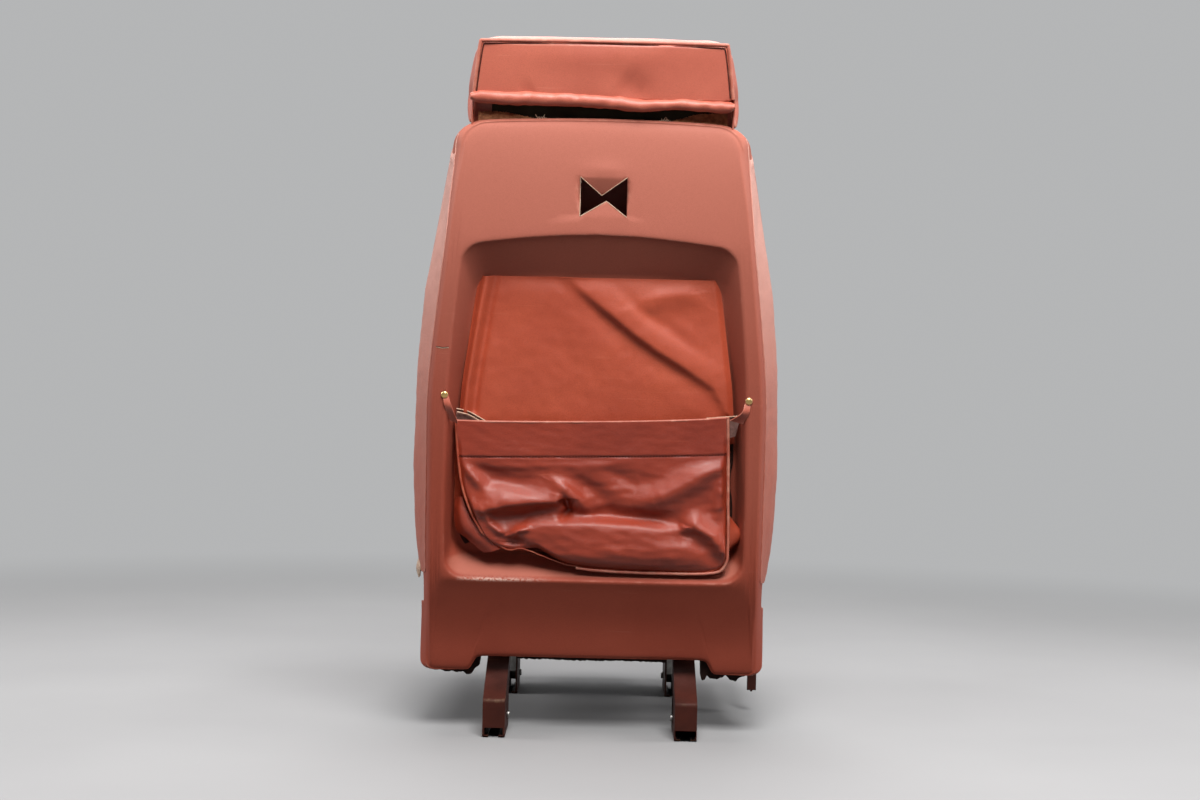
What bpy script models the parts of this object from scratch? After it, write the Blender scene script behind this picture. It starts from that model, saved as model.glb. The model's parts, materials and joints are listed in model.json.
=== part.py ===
"""Co-pilot seat of a light aircraft: floor-rail base, seat pan and cushion, reclining back, headrest.

Metres, +Z up. The occupant faces -Y, so +X is the occupant's left. The origin lies on the floor under
the middle of the seat. Pieces of the backrest and the headrest are modelled in the backrest's own frame:
x across, w rearward and v upward along the back, from the hinge axis.
"""

import math

import bmesh
import bpy
from mathutils import Matrix, Vector

# Clearances
GAP = 0.0003            # between pieces that touch
RUN = 0.0005            # between a moving piece and what guides it

# Floor rails and feet
RAIL_SPACING = 0.265    # between the centre lines of the two floor rails
RAIL_NECK = 0.014       # slot between the lips of a foot
RAIL_HEAD_TOP = 0.011   # top of the floor rail's head above the floor
LEG_WIDTH = 0.031
LEG_SHEET = 0.0025
FOOT_LENGTH = 0.100
FOOT_HEIGHT = 0.052
REAR_FOOT_BACK = 0.225  # rear face of the rear feet
FRONT_FOOT_FRONT = -0.240
REAR_LEG_KNEE = 0.093   # how far ahead of its foot's web the rear leg bends, and where it ends
REAR_LEG_HEAD = 0.108
FRONT_LEG_KNEE = 0.018
FRONT_LEG_HEAD = 0.036
LEG_KNEE_RISE = 0.046   # height of the bend above the foot
LEG_HEAD_LENGTH = 0.052
REAR_AXLE_INSET = 0.060  # of a roller's axle from its foot's web
FRONT_AXLE_INSET = 0.022
ROLLER_RADIUS = 0.011
AXLE_RADIUS = 0.003
AXLE_HEAD = 0.0052

# Frame
FRAME_TOP = 0.150       # top of the fore-and-aft frame rails
FRAME_DEPTH = 0.022
FRAME_SHEET = 0.002
FRAME_FRONT = -0.245
FRAME_BACK = 0.122
CROSS_RADIUS = 0.0125
CROSS_WALL = 0.002
FRONT_CROSS_Y = -0.215
REAR_CROSS_Y = 0.105

# Seat pan and cushion
PAN_FRONT = -0.320
PAN_BACK = 0.119
PAN_HALF = 0.232
PAN_SHEET = 0.0018
PAN_RIM = 0.015
PAN_WAIST_HALF = 0.205  # half width beside the hinges
PAN_WAIST_Y = 0.083
PAN_CORNER = 0.016
PAN_HOLE_RADIUS = 0.032
PAN_HOLE_PITCH = 0.145
PAN_HOLE_ROWS = (-0.125, 0.015)
CUSHION_FRONT = -0.340
CUSHION_BACK = 0.074
CUSHION_HALF = 0.236
CUSHION_THICK = 0.113

# Backrest hinge
HINGE_Y = 0.150
HINGE_Z = 0.198
LEAN = math.radians(11)
BRACKET_X = 0.2245      # inner face of a hinge bracket
BRACKET_SHEET = 0.004
PIVOT_RADIUS = 0.005
PIVOT_HEAD = 0.0075
LUG_WIDTH = 0.010
LUG_RADIUS = 0.014      # of the hinge's lugs round the pivot

# Backrest frame, in the backrest's frame
SHELL_TOP = 0.660       # the frame's head, the recess, the cushion and the headrest are set out from it
STILE_RADIUS = 0.0095
STILE_FOOT_X = 0.2185
STILE_HEAD_X = 0.1665
STILE_FOOT_V = 0.040
STILE_BEND_V = 0.290
STILE_BEND = 0.120      # radius of the stile's bend
LUG_TOP_V = 0.058
STILE_DROP = 0.035
STILE_TOP_V = SHELL_TOP - STILE_DROP
FRAME_W = 0.0135        # centre plane of the tubes
LOWER_RAIL_V = 0.062
MIDDLE_RAIL_V = 0.330
TOP_RAIL_DROP = 0.020
TOP_RAIL_V = STILE_TOP_V - TOP_RAIL_DROP
BOARD_THICK = 0.003
BOARD_SHOULDER_V = 0.230  # where the board and the lining start to narrow

# Back shell, in the backrest's frame
SHELL_THICK = 0.003
SHELL_BOTTOM = -0.1055
SIDE_FLARE = 0.0145     # how far the side wall's front rim stands outside the crease
SIDE_RIM_W = 0.002      # front rims of the shell's side, top and bottom walls
TOP_RIM_W = 0.0335
BOTTOM_RIM_W = 0.0380
ARCH_TOP = -0.085
ARCH_HALF = 0.158
ARCH_CORNER = 0.015
RECESS_DROP = 0.149     # height of the shell's plain face above the recess
RECESS_TOP = SHELL_TOP - RECESS_DROP
RECESS_BOTTOM = 0.0355
FLOOR_DROP = 0.058      # from the recess's rim down its slope to its floor
FLOOR_TOP = RECESS_TOP - FLOOR_DROP
FLOOR_BOTTOM = 0.061
FLANGE = 0.016          # width of the recess floor's flange round its window
CUT_OUT_DROP = 0.0731   # from the shell's top down to the cut-out
CUT_OUT_HEIGHT = 0.0512
CUT_OUT_TOP = SHELL_TOP - CUT_OUT_DROP
CUT_OUT = (-0.0344, 0.0277, CUT_OUT_TOP - CUT_OUT_HEIGHT, CUT_OUT_TOP)  # left, right, bottom, top
CUT_OUT_NECK = 0.013
NOTCH_RADIUS = 0.0275
NOTCH_V = 0.0085
NOTCH_REACH = 0.030
STUD_X = 0.2050
STUD_V = 0.293
STUD_RADIUS = 0.004
STUD_SHANK = 0.0015

# Map pocket and lining, in the backrest's frame
LEATHER = 0.0025
POCKET_HALF = 0.187
POCKET_SHIFT = 0.004
POCKET_BOTTOM = 0.0585
POCKET_TOP = 0.258
POCKET_FRONT_W = 0.0605
POCKET_TUCK = 0.011     # how far the gusset's inner edge lies inside its outer edge
LINING_DROP = 0.005
LINING_TOP = FLOOR_TOP - LINING_DROP
LINING_BOTTOM = 0.064

# Back cushion, in the backrest's frame
BACK_FRONT_W = -0.066
BOLSTER_FRONT_W = -0.088
BACK_BOTTOM_V = 0.022
BACK_DROP = 0.022
BACK_TOP_V = SHELL_TOP - BACK_DROP

# Headrest, in the backrest's frame
POST_X = 0.060
POST_RADIUS = 0.006
SOCKET_WALL = 0.002
SOCKET_DROP = 0.020
SOCKET_LENGTH = 0.120
SOCKET_TOP_V = SHELL_TOP - SOCKET_DROP
SOCKET_BOTTOM_V = SOCKET_TOP_V - SOCKET_LENGTH
POST_RISE = 0.015       # from a socket's foot up to its post's end
POST_BOTTOM_V = SOCKET_BOTTOM_V + POST_RISE
HEAD_SINK = 0.0145      # how far the headrest's plate lies below the shell's top
HEAD_STEP = 0.0425      # height of the step at the back, where the plate's flange stands
HEAD_HEIGHT = 0.1215
HEAD_BOTTOM_V = SHELL_TOP - HEAD_SINK
HEAD_PLATE = 0.003
HEAD_STEP_V = HEAD_BOTTOM_V + HEAD_STEP
HEAD_STEP_W = 0.0285    # rear face of the plate's flange
HEAD_TOP_V = HEAD_BOTTOM_V + HEAD_HEIGHT
HEAD_BACK_W = 0.046
HEAD_FRONT_W = -0.056
HEAD_TOP_HALF = 0.166
HEAD_BOTTOM_HALF = 0.182

# Recline lock
ARM_TIP_W = 0.022
ARM_TIP_V = -0.066
ARM_SHEET = 0.005
ARM_TIP_RADIUS = 0.008
ARM_PIN_RADIUS = 0.003
ARM_PIN_HEAD = 0.0062
EYE_CLEARANCE = 0.0016  # the lock rod's eye is open to the pin: the linkage's free play
EYE_WIDTH = 0.008
EYE_RADIUS = 0.009
LOCK_RADIUS = 0.012
LOCK_FRONT = -0.010
LOCK_BACK = 0.100
LOCK_COLLAR = 0.010     # length of the cylinder's rear collar
ROD_RADIUS = 0.004
ROD_FRONT = 0.060
ROD_TRAVEL = 0.026
TRUNNION_Y = 0.030
TRUNNION_RADIUS = 0.004
CHEEK_SHEET = 0.003
CHEEK_INNER = LOCK_RADIUS + 0.0025
CHEEK_OUTER = CHEEK_INNER + CHEEK_SHEET
LOCK_CLEARANCE = 0.0022 # between the lock's cheeks and the legs' outer faces
LOCK_X = -(RAIL_SPACING / 2 + LEG_WIDTH / 2 + GAP + CHEEK_OUTER + LOCK_CLEARANCE)
SHAFT_Y = -0.022
SHAFT_DROP = 0.014
SHAFT_RADIUS = 0.004
SHAFT_HEAD = 0.0065
FINGER_THICK = 0.0054
PLUNGER_RADIUS = 0.003
PLUNGER_NOSE = 0.0015
PLUNGER_LENGTH = 0.0235
PLUNGER_TRAVEL = 0.0033

# Recline lever
LEVER_SHEET = 0.003
LEVER_CLEARANCE = 0.010 # between the seat pan's rim and the lever
LEVER_X = -(PAN_HALF + LEVER_CLEARANCE + LEVER_SHEET / 2)
LEVER_TAIL_Z = 0.030
LEVER_TAIL_WIDTH = 0.0135
GRIP_Y = (-0.262, -0.160)
GRIP_RADIUS = 0.0095

# Fore-and-aft adjustment
PIN_Y = -0.185
PIN_RADIUS = 0.004
PIN_TIP_Z = 0.004
PIN_TOP_Z = 0.102
PIN_LIFT = 0.0142
COLLAR_Z = 0.045
COLLAR_THICK = 0.003
COLLAR_RADIUS = 0.008
DOWEL_RADIUS = 0.0025
GUIDE_SHEET = 0.005
GUIDE_LOW_Z = 0.031
GUIDE_HIGH_Z = 0.078
SPRING_TURNS = 4
SPRING_STEPS = 10       # straight pieces in one turn
SPRING_RADIUS = 0.0062
SPRING_WIRE = 0.0007
BAR_RADIUS = 0.005
BAR_BRACKET_SHEET = 0.0042
BAR_X = RAIL_SPACING / 2 + LEG_WIDTH / 2 + GAP + BAR_BRACKET_SHEET + RUN + BAR_RADIUS
BAR_Z = 0.088
BAR_FRONT = -0.322
BAR_PIVOT_Y = -0.120
BAR_BEND = 0.030
BAR_EYE = 0.009         # radius of the bar's ends round their bolts

SIDES = 18              # facets of a turned piece

# Finishes: colour, roughness, metallic
FINISHES = {
    "shell_plastic": ((0.42, 0.12, 0.08), 0.55, 0.0),
    "leather": ((0.30, 0.05, 0.025), 0.35, 0.0),
    "frame_paint": ((0.07, 0.02, 0.014), 0.5, 0.3),
    "khaki_board": ((0.20, 0.17, 0.10), 0.7, 0.0),
    "steel": ((0.55, 0.55, 0.55), 0.35, 1.0),
    "brass": ((0.62, 0.42, 0.16), 0.3, 1.0),
    "nylon": ((0.75, 0.72, 0.62), 0.5, 0.0),
    "grip_plastic": ((0.03, 0.025, 0.022), 0.5, 0.0),
}


def finish(name):
    """The Principled material called name, made the first time it is asked for."""
    made = bpy.data.materials.get(name)
    if made:
        return made
    colour, roughness, metallic = FINISHES[name]
    made = bpy.data.materials.new(name)
    made.use_nodes = True
    shader = made.node_tree.nodes["Principled BSDF"]
    shader.inputs["Base Color"].default_value = (*colour, 1.0)
    shader.inputs["Roughness"].default_value = roughness
    shader.inputs["Metallic"].default_value = metallic
    return made


def piece(name, bm, look, parent=None, smooth=True):
    """A named object from a bmesh, its faces turned outwards."""
    bmesh.ops.recalc_face_normals(bm, faces=bm.faces)
    mesh = bpy.data.meshes.new(name)
    bm.to_mesh(mesh)
    bm.free()
    made = bpy.data.objects.new(name, mesh)
    bpy.context.collection.objects.link(made)
    made.data.materials.append(finish(look))
    made.parent = parent
    if smooth:
        mesh.shade_smooth()
        mesh.set_sharp_from_angle(angle=math.radians(35))
    return made


def empty(name, place, parent=None, turn=0.0):
    """A pivot on a joint's axis, turned about X."""
    made = bpy.data.objects.new(name, None)
    bpy.context.collection.objects.link(made)
    made.parent = parent
    made.location = place
    made.rotation_euler = (turn, 0.0, 0.0)
    return made


def along(axis, across, height):
    """A point from its two coordinates across an axis and its height along it."""
    first, second = across
    places = {
        "X": (height, first, second),
        "Y": (first, height, second),
        "Z": (first, second, height),
    }
    return Vector(places[axis])


def prism_mesh(outline, low, high, axis):
    """A straight extrusion of a closed outline from low to high along an axis."""
    bm = bmesh.new()
    ring = [bm.verts.new(along(axis, point, low)) for point in outline]
    base = bm.faces.new(ring)
    grown = bmesh.ops.extrude_face_region(bm, geom=[base])
    moved = [item for item in grown["geom"] if isinstance(item, bmesh.types.BMVert)]
    bmesh.ops.translate(bm, verts=moved, vec=along(axis, (0.0, 0.0), high - low))
    return bm


def turned_mesh(profile, axis, centre, closed=False, sides=SIDES):
    """A profile of (radius, height) turned about an axis; a closed profile makes a ring."""
    bm = bmesh.new()
    verts = [bm.verts.new((radius, 0.0, height)) for radius, height in profile]
    edges = [bm.edges.new(pair) for pair in zip(verts, verts[1:])]
    if closed:
        edges.append(bm.edges.new((verts[-1], verts[0])))
    bmesh.ops.spin(
        bm, geom=verts + edges, cent=(0, 0, 0), axis=(0, 0, 1), angle=2 * math.pi, steps=sides
    )
    bmesh.ops.remove_doubles(bm, verts=bm.verts, dist=1e-6)
    turns = {
        "X": Matrix.Rotation(math.pi / 2, 4, "Y"),
        "Y": Matrix.Rotation(-math.pi / 2, 4, "X"),
        "Z": Matrix.Identity(4),
    }
    bmesh.ops.transform(bm, matrix=Matrix.Translation(centre) @ turns[axis], verts=bm.verts)
    return bm


def bar_mesh(radius, low, high, axis, centre, sides=SIDES):
    """A plain round bar from low to high along an axis, also the cutter of a bore."""
    return turned_mesh([(0, low), (radius, low), (radius, high), (0, high)], axis, centre, sides=sides)


def loft_mesh(rings, capped=True):
    """A skin through closed rings of equal length, with or without flat ends."""
    bm = bmesh.new()
    rows = [[bm.verts.new(point) for point in ring] for ring in rings]
    count = len(rows[0])
    for near, far in zip(rows, rows[1:]):
        for i in range(count):
            j = (i + 1) % count
            bm.faces.new((near[i], near[j], far[j], far[i]))
    if capped:
        bm.faces.new(rows[0])
        bm.faces.new(list(reversed(rows[-1])))
    return bm


def pipe_mesh(name, route, radius, detail=2):
    """A round bar along a route, from a bevelled curve with filled ends."""
    curve = bpy.data.curves.new(name + "_route", "CURVE")
    curve.dimensions = "3D"
    curve.bevel_depth = radius
    curve.bevel_resolution = detail
    curve.use_fill_caps = True
    spline = curve.splines.new("POLY")
    spline.points.add(len(route) - 1)
    for point, place in zip(spline.points, route):
        point.co = (*place, 1.0)
    guide = bpy.data.objects.new(name + "_route", curve)
    bpy.context.collection.objects.link(guide)
    skin = bpy.data.meshes.new_from_object(guide)
    bm = bmesh.new()
    bm.from_mesh(skin)
    bmesh.ops.remove_doubles(bm, verts=bm.verts, dist=1e-6)
    bpy.data.objects.remove(guide)
    return bm


def rounded(corners, radius, steps=4, closed=True):
    """The points of a line whose corners are arcs of a radius; an open line keeps its two ends."""
    corners = [Vector(corner) for corner in corners]
    count = len(corners)
    line = []
    for i, corner in enumerate(corners):
        if not closed and i in (0, count - 1):
            line.append(corner)
            continue
        before = (corners[i - 1] - corner).normalized()
        after = (corners[(i + 1) % count] - corner).normalized()
        half = before.angle(after) / 2
        reach = radius / math.tan(half)
        reach = min(reach, 0.49 * (corners[i - 1] - corner).length)
        reach = min(reach, 0.49 * (corners[(i + 1) % count] - corner).length)
        start = corner + before * reach
        end = corner + after * reach
        for step in range(steps + 1):
            t = step / steps
            line.append(start * (1 - t) ** 2 + corner * 2 * t * (1 - t) + end * t ** 2)
    return line


def link_outline(first, first_radius, second, second_radius, steps=8):
    """The outline of a flat link: two round ends joined by their outer tangents."""
    first, second = Vector(first), Vector(second)
    line = second - first
    heading = math.atan2(line.y, line.x)
    spread = math.acos((first_radius - second_radius) / line.length)
    outline = []
    for centre, radius, start, sweep in (
        (second, second_radius, heading - spread, 2 * spread),
        (first, first_radius, heading + spread, 2 * (math.pi - spread)),
    ):
        for step in range(steps + 1):
            angle = start + sweep * step / steps
            outline.append(centre + radius * Vector((math.cos(angle), math.sin(angle))))
    return outline


def box_outline(low_a, high_a, low_b, high_b):
    """The four corners of a rectangle."""
    return [(low_a, low_b), (high_a, low_b), (high_a, high_b), (low_a, high_b)]


def blend(pairs, place):
    """The value at a place on a line of straight runs through (place, value) pairs."""
    if place <= pairs[0][0]:
        return pairs[0][1]
    for (low, first), (high, second) in zip(pairs, pairs[1:]):
        if place <= high:
            t = (place - low) / (high - low)
            return first + (second - first) * t
    return pairs[-1][1]


def carve(target, cutter_bm, parent=None):
    """Takes a cutter's shape out of a piece."""
    cutter = piece(target.name + "_cutter", cutter_bm, "steel", parent, smooth=False)
    cutter.hide_render = True
    cutter.display_type = "WIRE"
    cut = target.modifiers.new("cut", "BOOLEAN")
    cut.operation = "DIFFERENCE"
    cut.object = cutter
    return target


def join(target, other_bm, parent=None):
    """Adds a shape to a piece, as a weld does."""
    other = piece(target.name + "_weld", other_bm, "steel", parent, smooth=False)
    other.hide_render = True
    other.display_type = "WIRE"
    weld = target.modifiers.new("weld", "BOOLEAN")
    weld.operation = "UNION"
    weld.object = other
    return target


def clear_scene():
    for item in list(bpy.data.objects):
        bpy.data.objects.remove(item)


# Base: legs, rollers and axles


def leg_outline(knee, head):
    """Side outline of a leg from the foot's web face, as distances ahead of it and heights."""
    top = FRAME_TOP - FRAME_DEPTH - GAP
    return [
        (0.0, 0.0),
        (0.0, FOOT_HEIGHT),
        (knee, FOOT_HEIGHT + LEG_KNEE_RISE),
        (head, top),
        (head + LEG_HEAD_LENGTH, top),
        (FOOT_LENGTH, FOOT_HEIGHT),
        (FOOT_LENGTH, 0.0),
    ]


def cavity_outline(knee, head):
    """The hollow inside a leg: its side outline without the web, open to the foot's far end."""
    outline = leg_outline(knee, head)
    inner = []
    for i in range(4):
        back, height = outline[i]
        inner.append((back + LEG_SHEET, height))
    inner[0] = (LEG_SHEET, LEG_SHEET)
    inner[3] = (inner[3][0], inner[3][1] + LEG_SHEET)
    far = outline[4][0] + LEG_SHEET
    inner.append((far, inner[3][1]))
    inner.append((FOOT_LENGTH + LEG_SHEET, FOOT_HEIGHT))
    inner.append((FOOT_LENGTH + LEG_SHEET, LEG_SHEET))
    return inner


def leg(name, x, web_y, ahead, bends, axle_y):
    """A formed channel: web, two side plates, lips under the floor rail, roller axle hole."""

    def placed(outline):
        return [(web_y + ahead * distance, height) for distance, height in outline]

    half = LEG_WIDTH / 2
    body = prism_mesh(placed(rounded(leg_outline(*bends), 0.006)), x - half, x + half, "X")
    made = piece(name, body, "frame_paint")
    inner = half - LEG_SHEET
    hollow = placed(rounded(cavity_outline(*bends), 0.003, steps=2))
    carve(made, prism_mesh(hollow, x - inner, x + inner, "X"))
    neck = RAIL_NECK / 2
    tee = [
        (x - neck, -LEG_SHEET),
        (x + neck, -LEG_SHEET),
        (x + neck, LEG_SHEET + GAP),
        (x + inner, LEG_SHEET + GAP),
        (x + inner, RAIL_HEAD_TOP + LEG_SHEET),
        (x - inner, RAIL_HEAD_TOP + LEG_SHEET),
        (x - inner, LEG_SHEET + GAP),
        (x - neck, LEG_SHEET + GAP),
    ]
    reach = FOOT_LENGTH + 0.01
    ends = sorted((web_y - ahead * 0.01, web_y + ahead * reach))
    carve(made, prism_mesh(tee, *ends, "Y"))
    axle = (x, axle_y, roller_height())
    carve(made, bar_mesh(AXLE_RADIUS + GAP, -LEG_WIDTH, LEG_WIDTH, "X", axle, sides=12))
    return made


def roller_height():
    return RAIL_HEAD_TOP + ROLLER_RADIUS + GAP


def roller(name, x, y):
    """A nylon roller that runs on top of the floor rail."""
    half = LEG_WIDTH / 2 - LEG_SHEET - RUN
    bore = AXLE_RADIUS + RUN
    chamfer = 0.0015
    profile = [
        (bore, -half),
        (ROLLER_RADIUS - chamfer, -half),
        (ROLLER_RADIUS, chamfer - half),
        (ROLLER_RADIUS, half - chamfer),
        (ROLLER_RADIUS - chamfer, half),
        (bore, half),
    ]
    axle = empty(name + "_axis", (x, y, roller_height()))
    return piece(name, turned_mesh(profile, "X", (0, 0, 0), closed=True), "nylon", axle)


def bolt_mesh(low, high, shaft, head, centre, axis="X", sides=12):
    """A bolt along an axis with a head at each end, outside low and high."""
    thick = head * 0.6
    profile = [
        (0.0, low - thick),
        (head, low - thick),
        (head, low),
        (shaft, low),
        (shaft, high),
        (head, high),
        (head, high + thick),
        (0.0, high + thick),
    ]
    return turned_mesh(profile, axis, centre, sides=sides)


def legs():
    """Four legs with a roller and an axle bolt each."""
    rear = (REAR_LEG_KNEE, REAR_LEG_HEAD)
    front = (FRONT_LEG_KNEE, FRONT_LEG_HEAD)
    half = LEG_WIDTH / 2 + GAP
    for side, sign in (("left", 1), ("right", -1)):
        x = sign * RAIL_SPACING / 2
        for place, web_y, ahead, bends, inset in (
            ("rear", REAR_FOOT_BACK, -1, rear, REAR_AXLE_INSET),
            ("front", FRONT_FOOT_FRONT, 1, front, FRONT_AXLE_INSET),
        ):
            axle_y = web_y + ahead * inset
            leg(f"{place}_leg_{side}", x, web_y, ahead, bends, axle_y)
            roller(f"{place}_roller_{side}", x, axle_y)
            axle = bolt_mesh(-half, half, AXLE_RADIUS, AXLE_HEAD, (x, axle_y, roller_height()))
            piece(f"{place}_axle_{side}", axle, "steel")


# Frame, pan and seat cushion


def frame_rails():
    """Two fore-and-aft channels, open downwards, on top of the legs."""
    half = LEG_WIDTH / 2
    low = FRAME_TOP - FRAME_DEPTH
    inner = half - FRAME_SHEET
    roof = FRAME_TOP - FRAME_SHEET
    for side, sign in (("left", 1), ("right", -1)):
        x = sign * RAIL_SPACING / 2
        channel = [
            (x - half, low),
            (x - inner, low),
            (x - inner, roof),
            (x + inner, roof),
            (x + inner, low),
            (x + half, low),
            (x + half, FRAME_TOP),
            (x - half, FRAME_TOP),
        ]
        piece(f"frame_rail_{side}", prism_mesh(channel, FRAME_FRONT, FRAME_BACK, "Y"), "frame_paint")


def cross_height():
    return FRAME_TOP + GAP + CROSS_RADIUS


def cross_tube(name, y, half):
    """A round tube across the two frame rails."""
    inner = CROSS_RADIUS - CROSS_WALL
    profile = [(inner, -half), (CROSS_RADIUS, -half), (CROSS_RADIUS, half), (inner, half)]
    return piece(name, turned_mesh(profile, "X", (0, y, cross_height()), closed=True), "frame_paint")


def pan_outline(inset):
    """The pan's plan, waisted beside the hinges."""
    half, waist = PAN_HALF - inset, PAN_WAIST_HALF - inset
    front, back, shoulder = PAN_FRONT + inset, PAN_BACK - inset, PAN_WAIST_Y - inset
    corners = [
        (-half, front),
        (half, front),
        (half, shoulder),
        (waist, shoulder),
        (waist, back),
        (-waist, back),
        (-waist, shoulder),
        (-half, shoulder),
    ]
    return rounded(corners, PAN_CORNER - inset, steps=3)


def pan_floor():
    return cross_height() + CROSS_RADIUS + GAP


def seat_pan():
    """A sheet-metal tray, rim down, with lightening holes."""
    floor = pan_floor()
    top = floor + PAN_SHEET
    low = top - PAN_RIM
    made = piece("seat_pan", prism_mesh(pan_outline(0.0), low, top, "Z"), "frame_paint")
    carve(made, prism_mesh(pan_outline(PAN_SHEET), low - PAN_SHEET, floor, "Z"))
    beside = CROSS_RADIUS + GAP
    notch = box_outline(REAR_CROSS_Y - beside, REAR_CROSS_Y + beside, low - PAN_SHEET, floor - GAP)
    carve(made, prism_mesh(notch, -PAN_HALF, PAN_HALF, "X"))
    for x in (-PAN_HOLE_PITCH, 0.0, PAN_HOLE_PITCH):
        for y in PAN_HOLE_ROWS:
            carve(made, bar_mesh(PAN_HOLE_RADIUS, low, top + PAN_SHEET, "Z", (x, y, 0)))
    return made


def seat_cushion():
    """A crowned box cushion on the pan, its front edge rolled down."""
    base = pan_floor() + PAN_SHEET + GAP
    stations = 9
    around = 28
    rings = []
    for i in range(stations):
        t = i / (stations - 1)
        y = CUSHION_FRONT + (CUSHION_BACK - CUSHION_FRONT) * (1 - math.cos(math.pi * t)) / 2
        end = math.sin(math.pi * t) ** 0.25 if 0 < t < 1 else 0.0
        half = CUSHION_HALF * (0.93 + 0.07 * end)
        thick = CUSHION_THICK * (0.72 + 0.28 * end)
        ring = []
        for j in range(around):
            angle = 2 * math.pi * j / around
            across = math.copysign(abs(math.cos(angle)) ** 0.28, math.cos(angle))
            up = math.copysign(abs(math.sin(angle)) ** 0.28, math.sin(angle))
            crown = 0.006 * (1 - across * across) * max(up, 0.0)
            ring.append((half * across, y, base + thick * 0.475 * (1 + up) + crown * end))
        rings.append(ring)
    return piece("seat_cushion", loft_mesh(rings), "leather")


def hinge_brackets():
    """Plates from the rear cross tube's ends up to the backrest's hinge, with their pivot bolts."""
    tube_centre = (REAR_CROSS_Y, cross_height())
    pivot = (HINGE_Y, HINGE_Z)
    inner = BRACKET_X - RUN - LUG_WIDTH - GAP
    outer = BRACKET_X + BRACKET_SHEET + GAP
    outline = link_outline(tube_centre, CROSS_RADIUS + BRACKET_SHEET, pivot, LUG_RADIUS)
    for side, sign in (("left", 1), ("right", -1)):
        faces = sorted((sign * BRACKET_X, sign * (BRACKET_X + BRACKET_SHEET)))
        made = piece(f"hinge_bracket_{side}", prism_mesh(outline, *faces, "X"), "frame_paint")
        low, high = sorted((sign * inner, sign * outer))
        carve(made, bar_mesh(PIVOT_RADIUS + GAP, low, high, "X", (0, *pivot)))
        bolt = bolt_mesh(low, high, PIVOT_RADIUS, PIVOT_HEAD, (0, *pivot), sides=SIDES)
        piece(f"pivot_bolt_{side}", bolt, "steel")


# Backrest


def crease_half(v):
    """Half width of the shell's crease, between its face and its side walls."""
    return blend(
        [
            (-0.106, 0.2295),
            (0.016, 0.2288),
            (0.193, 0.2272),
            (0.305, 0.2262),
            (0.426, 0.2130),
            (0.496, 0.2050),
            (SHELL_TOP - 0.082, 0.1955),
            (SHELL_TOP, 0.1790),
        ],
        v,
    )


def rim_half(v):
    """Half width of the recess at the face."""
    upper = [(RECESS_TOP - 0.085, 0.1910), (RECESS_TOP, 0.1800)]
    return blend([(0.035, 0.2065), (0.158, 0.2060), (0.322, 0.2010), *upper], v)


def floor_half(v):
    """Half width of the recess at its floor."""
    upper = [(FLOOR_TOP - 0.053, 0.1720), (FLOOR_TOP, 0.1640)]
    return blend([(0.061, 0.1960), (0.200, 0.1940), (0.300, 0.1860), *upper], v)


def face_depth(v):
    """How far the shell's face stands behind the hinge plane."""
    return blend(
        [
            (-0.1055, 0.0490),
            (-0.060, 0.0500),
            (-0.020, 0.0570),
            (0.022, 0.0690),
            (0.0355, 0.0740),
            (0.300, 0.0750),
            (0.360, 0.0720),
            (RECESS_TOP - 0.011, 0.0670),
            (SHELL_TOP - 0.060, 0.0535),
            (SHELL_TOP - 0.020, 0.0460),
            (SHELL_TOP, 0.0405),
        ],
        v,
    )


def floor_depth():
    """The recess floor's rear face: tubes, board and shell lie on each other."""
    return FRAME_W + STILE_RADIUS + GAP + BOARD_THICK + GAP + SHELL_THICK


def arch_height(x):
    """The lower edge of the shell: tabs at the sides, an arch between them."""
    t = (abs(x) - ARCH_HALF) / ARCH_CORNER
    t = min(max(t, 0.0), 1.0)
    ease = t * t * (3 - 2 * t)
    return ARCH_TOP + (SHELL_BOTTOM - ARCH_TOP) * ease


RING_TOP = (0.0, 0.35, 0.7, 1.0)
RING_CORNER = (0.2, 0.4, 0.6, 0.8)
RING_SIDE = (0.0, 0.08, 0.17, 0.27, 0.37, 0.46, 0.54, 0.63, 0.73, 0.82, 0.91, 1.0)
RING_FOOT = (0.25, 0.5, 0.75, 1.0)
RING_EDGE = (0.178, 0.173, 0.169, 0.1655, 0.162, 0.158, 0.120, 0.060, 0.0)


def half_ring(top, arch_drop, half_at, corner, bottom, foot_corner, edge):
    """Right half of a ring, (x, v) from top centre down the side to bottom centre."""
    side_top = top - corner - arch_drop
    centre_x = half_at(side_top) - corner
    ring = []
    for t in RING_TOP:
        ring.append((centre_x * t, top - arch_drop * t * t))
    for t in RING_CORNER:
        angle = t * math.pi / 2
        ring.append((centre_x + corner * math.sin(angle), side_top + corner * math.cos(angle)))
    side_bottom = bottom + foot_corner
    for t in RING_SIDE:
        v = side_top + (side_bottom - side_top) * t
        ring.append((half_at(v), v))
    foot_x = half_at(side_bottom) - foot_corner
    for t in RING_FOOT:
        angle = t * math.pi / 2
        ring.append((foot_x + foot_corner * math.cos(angle), side_bottom - foot_corner * math.sin(angle)))
    outer_foot = crease_half(SHELL_BOTTOM) - 0.010
    for x in RING_EDGE:
        place = x * min(1.0, foot_x / outer_foot)
        ring.append((place, edge(place) if edge else bottom))
    return ring


def mirrored(ring):
    """A whole ring from its right half."""
    other = [Vector((-point.x, point.y, point.z)) for point in reversed(ring[1:-1])]
    return ring + other


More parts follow.
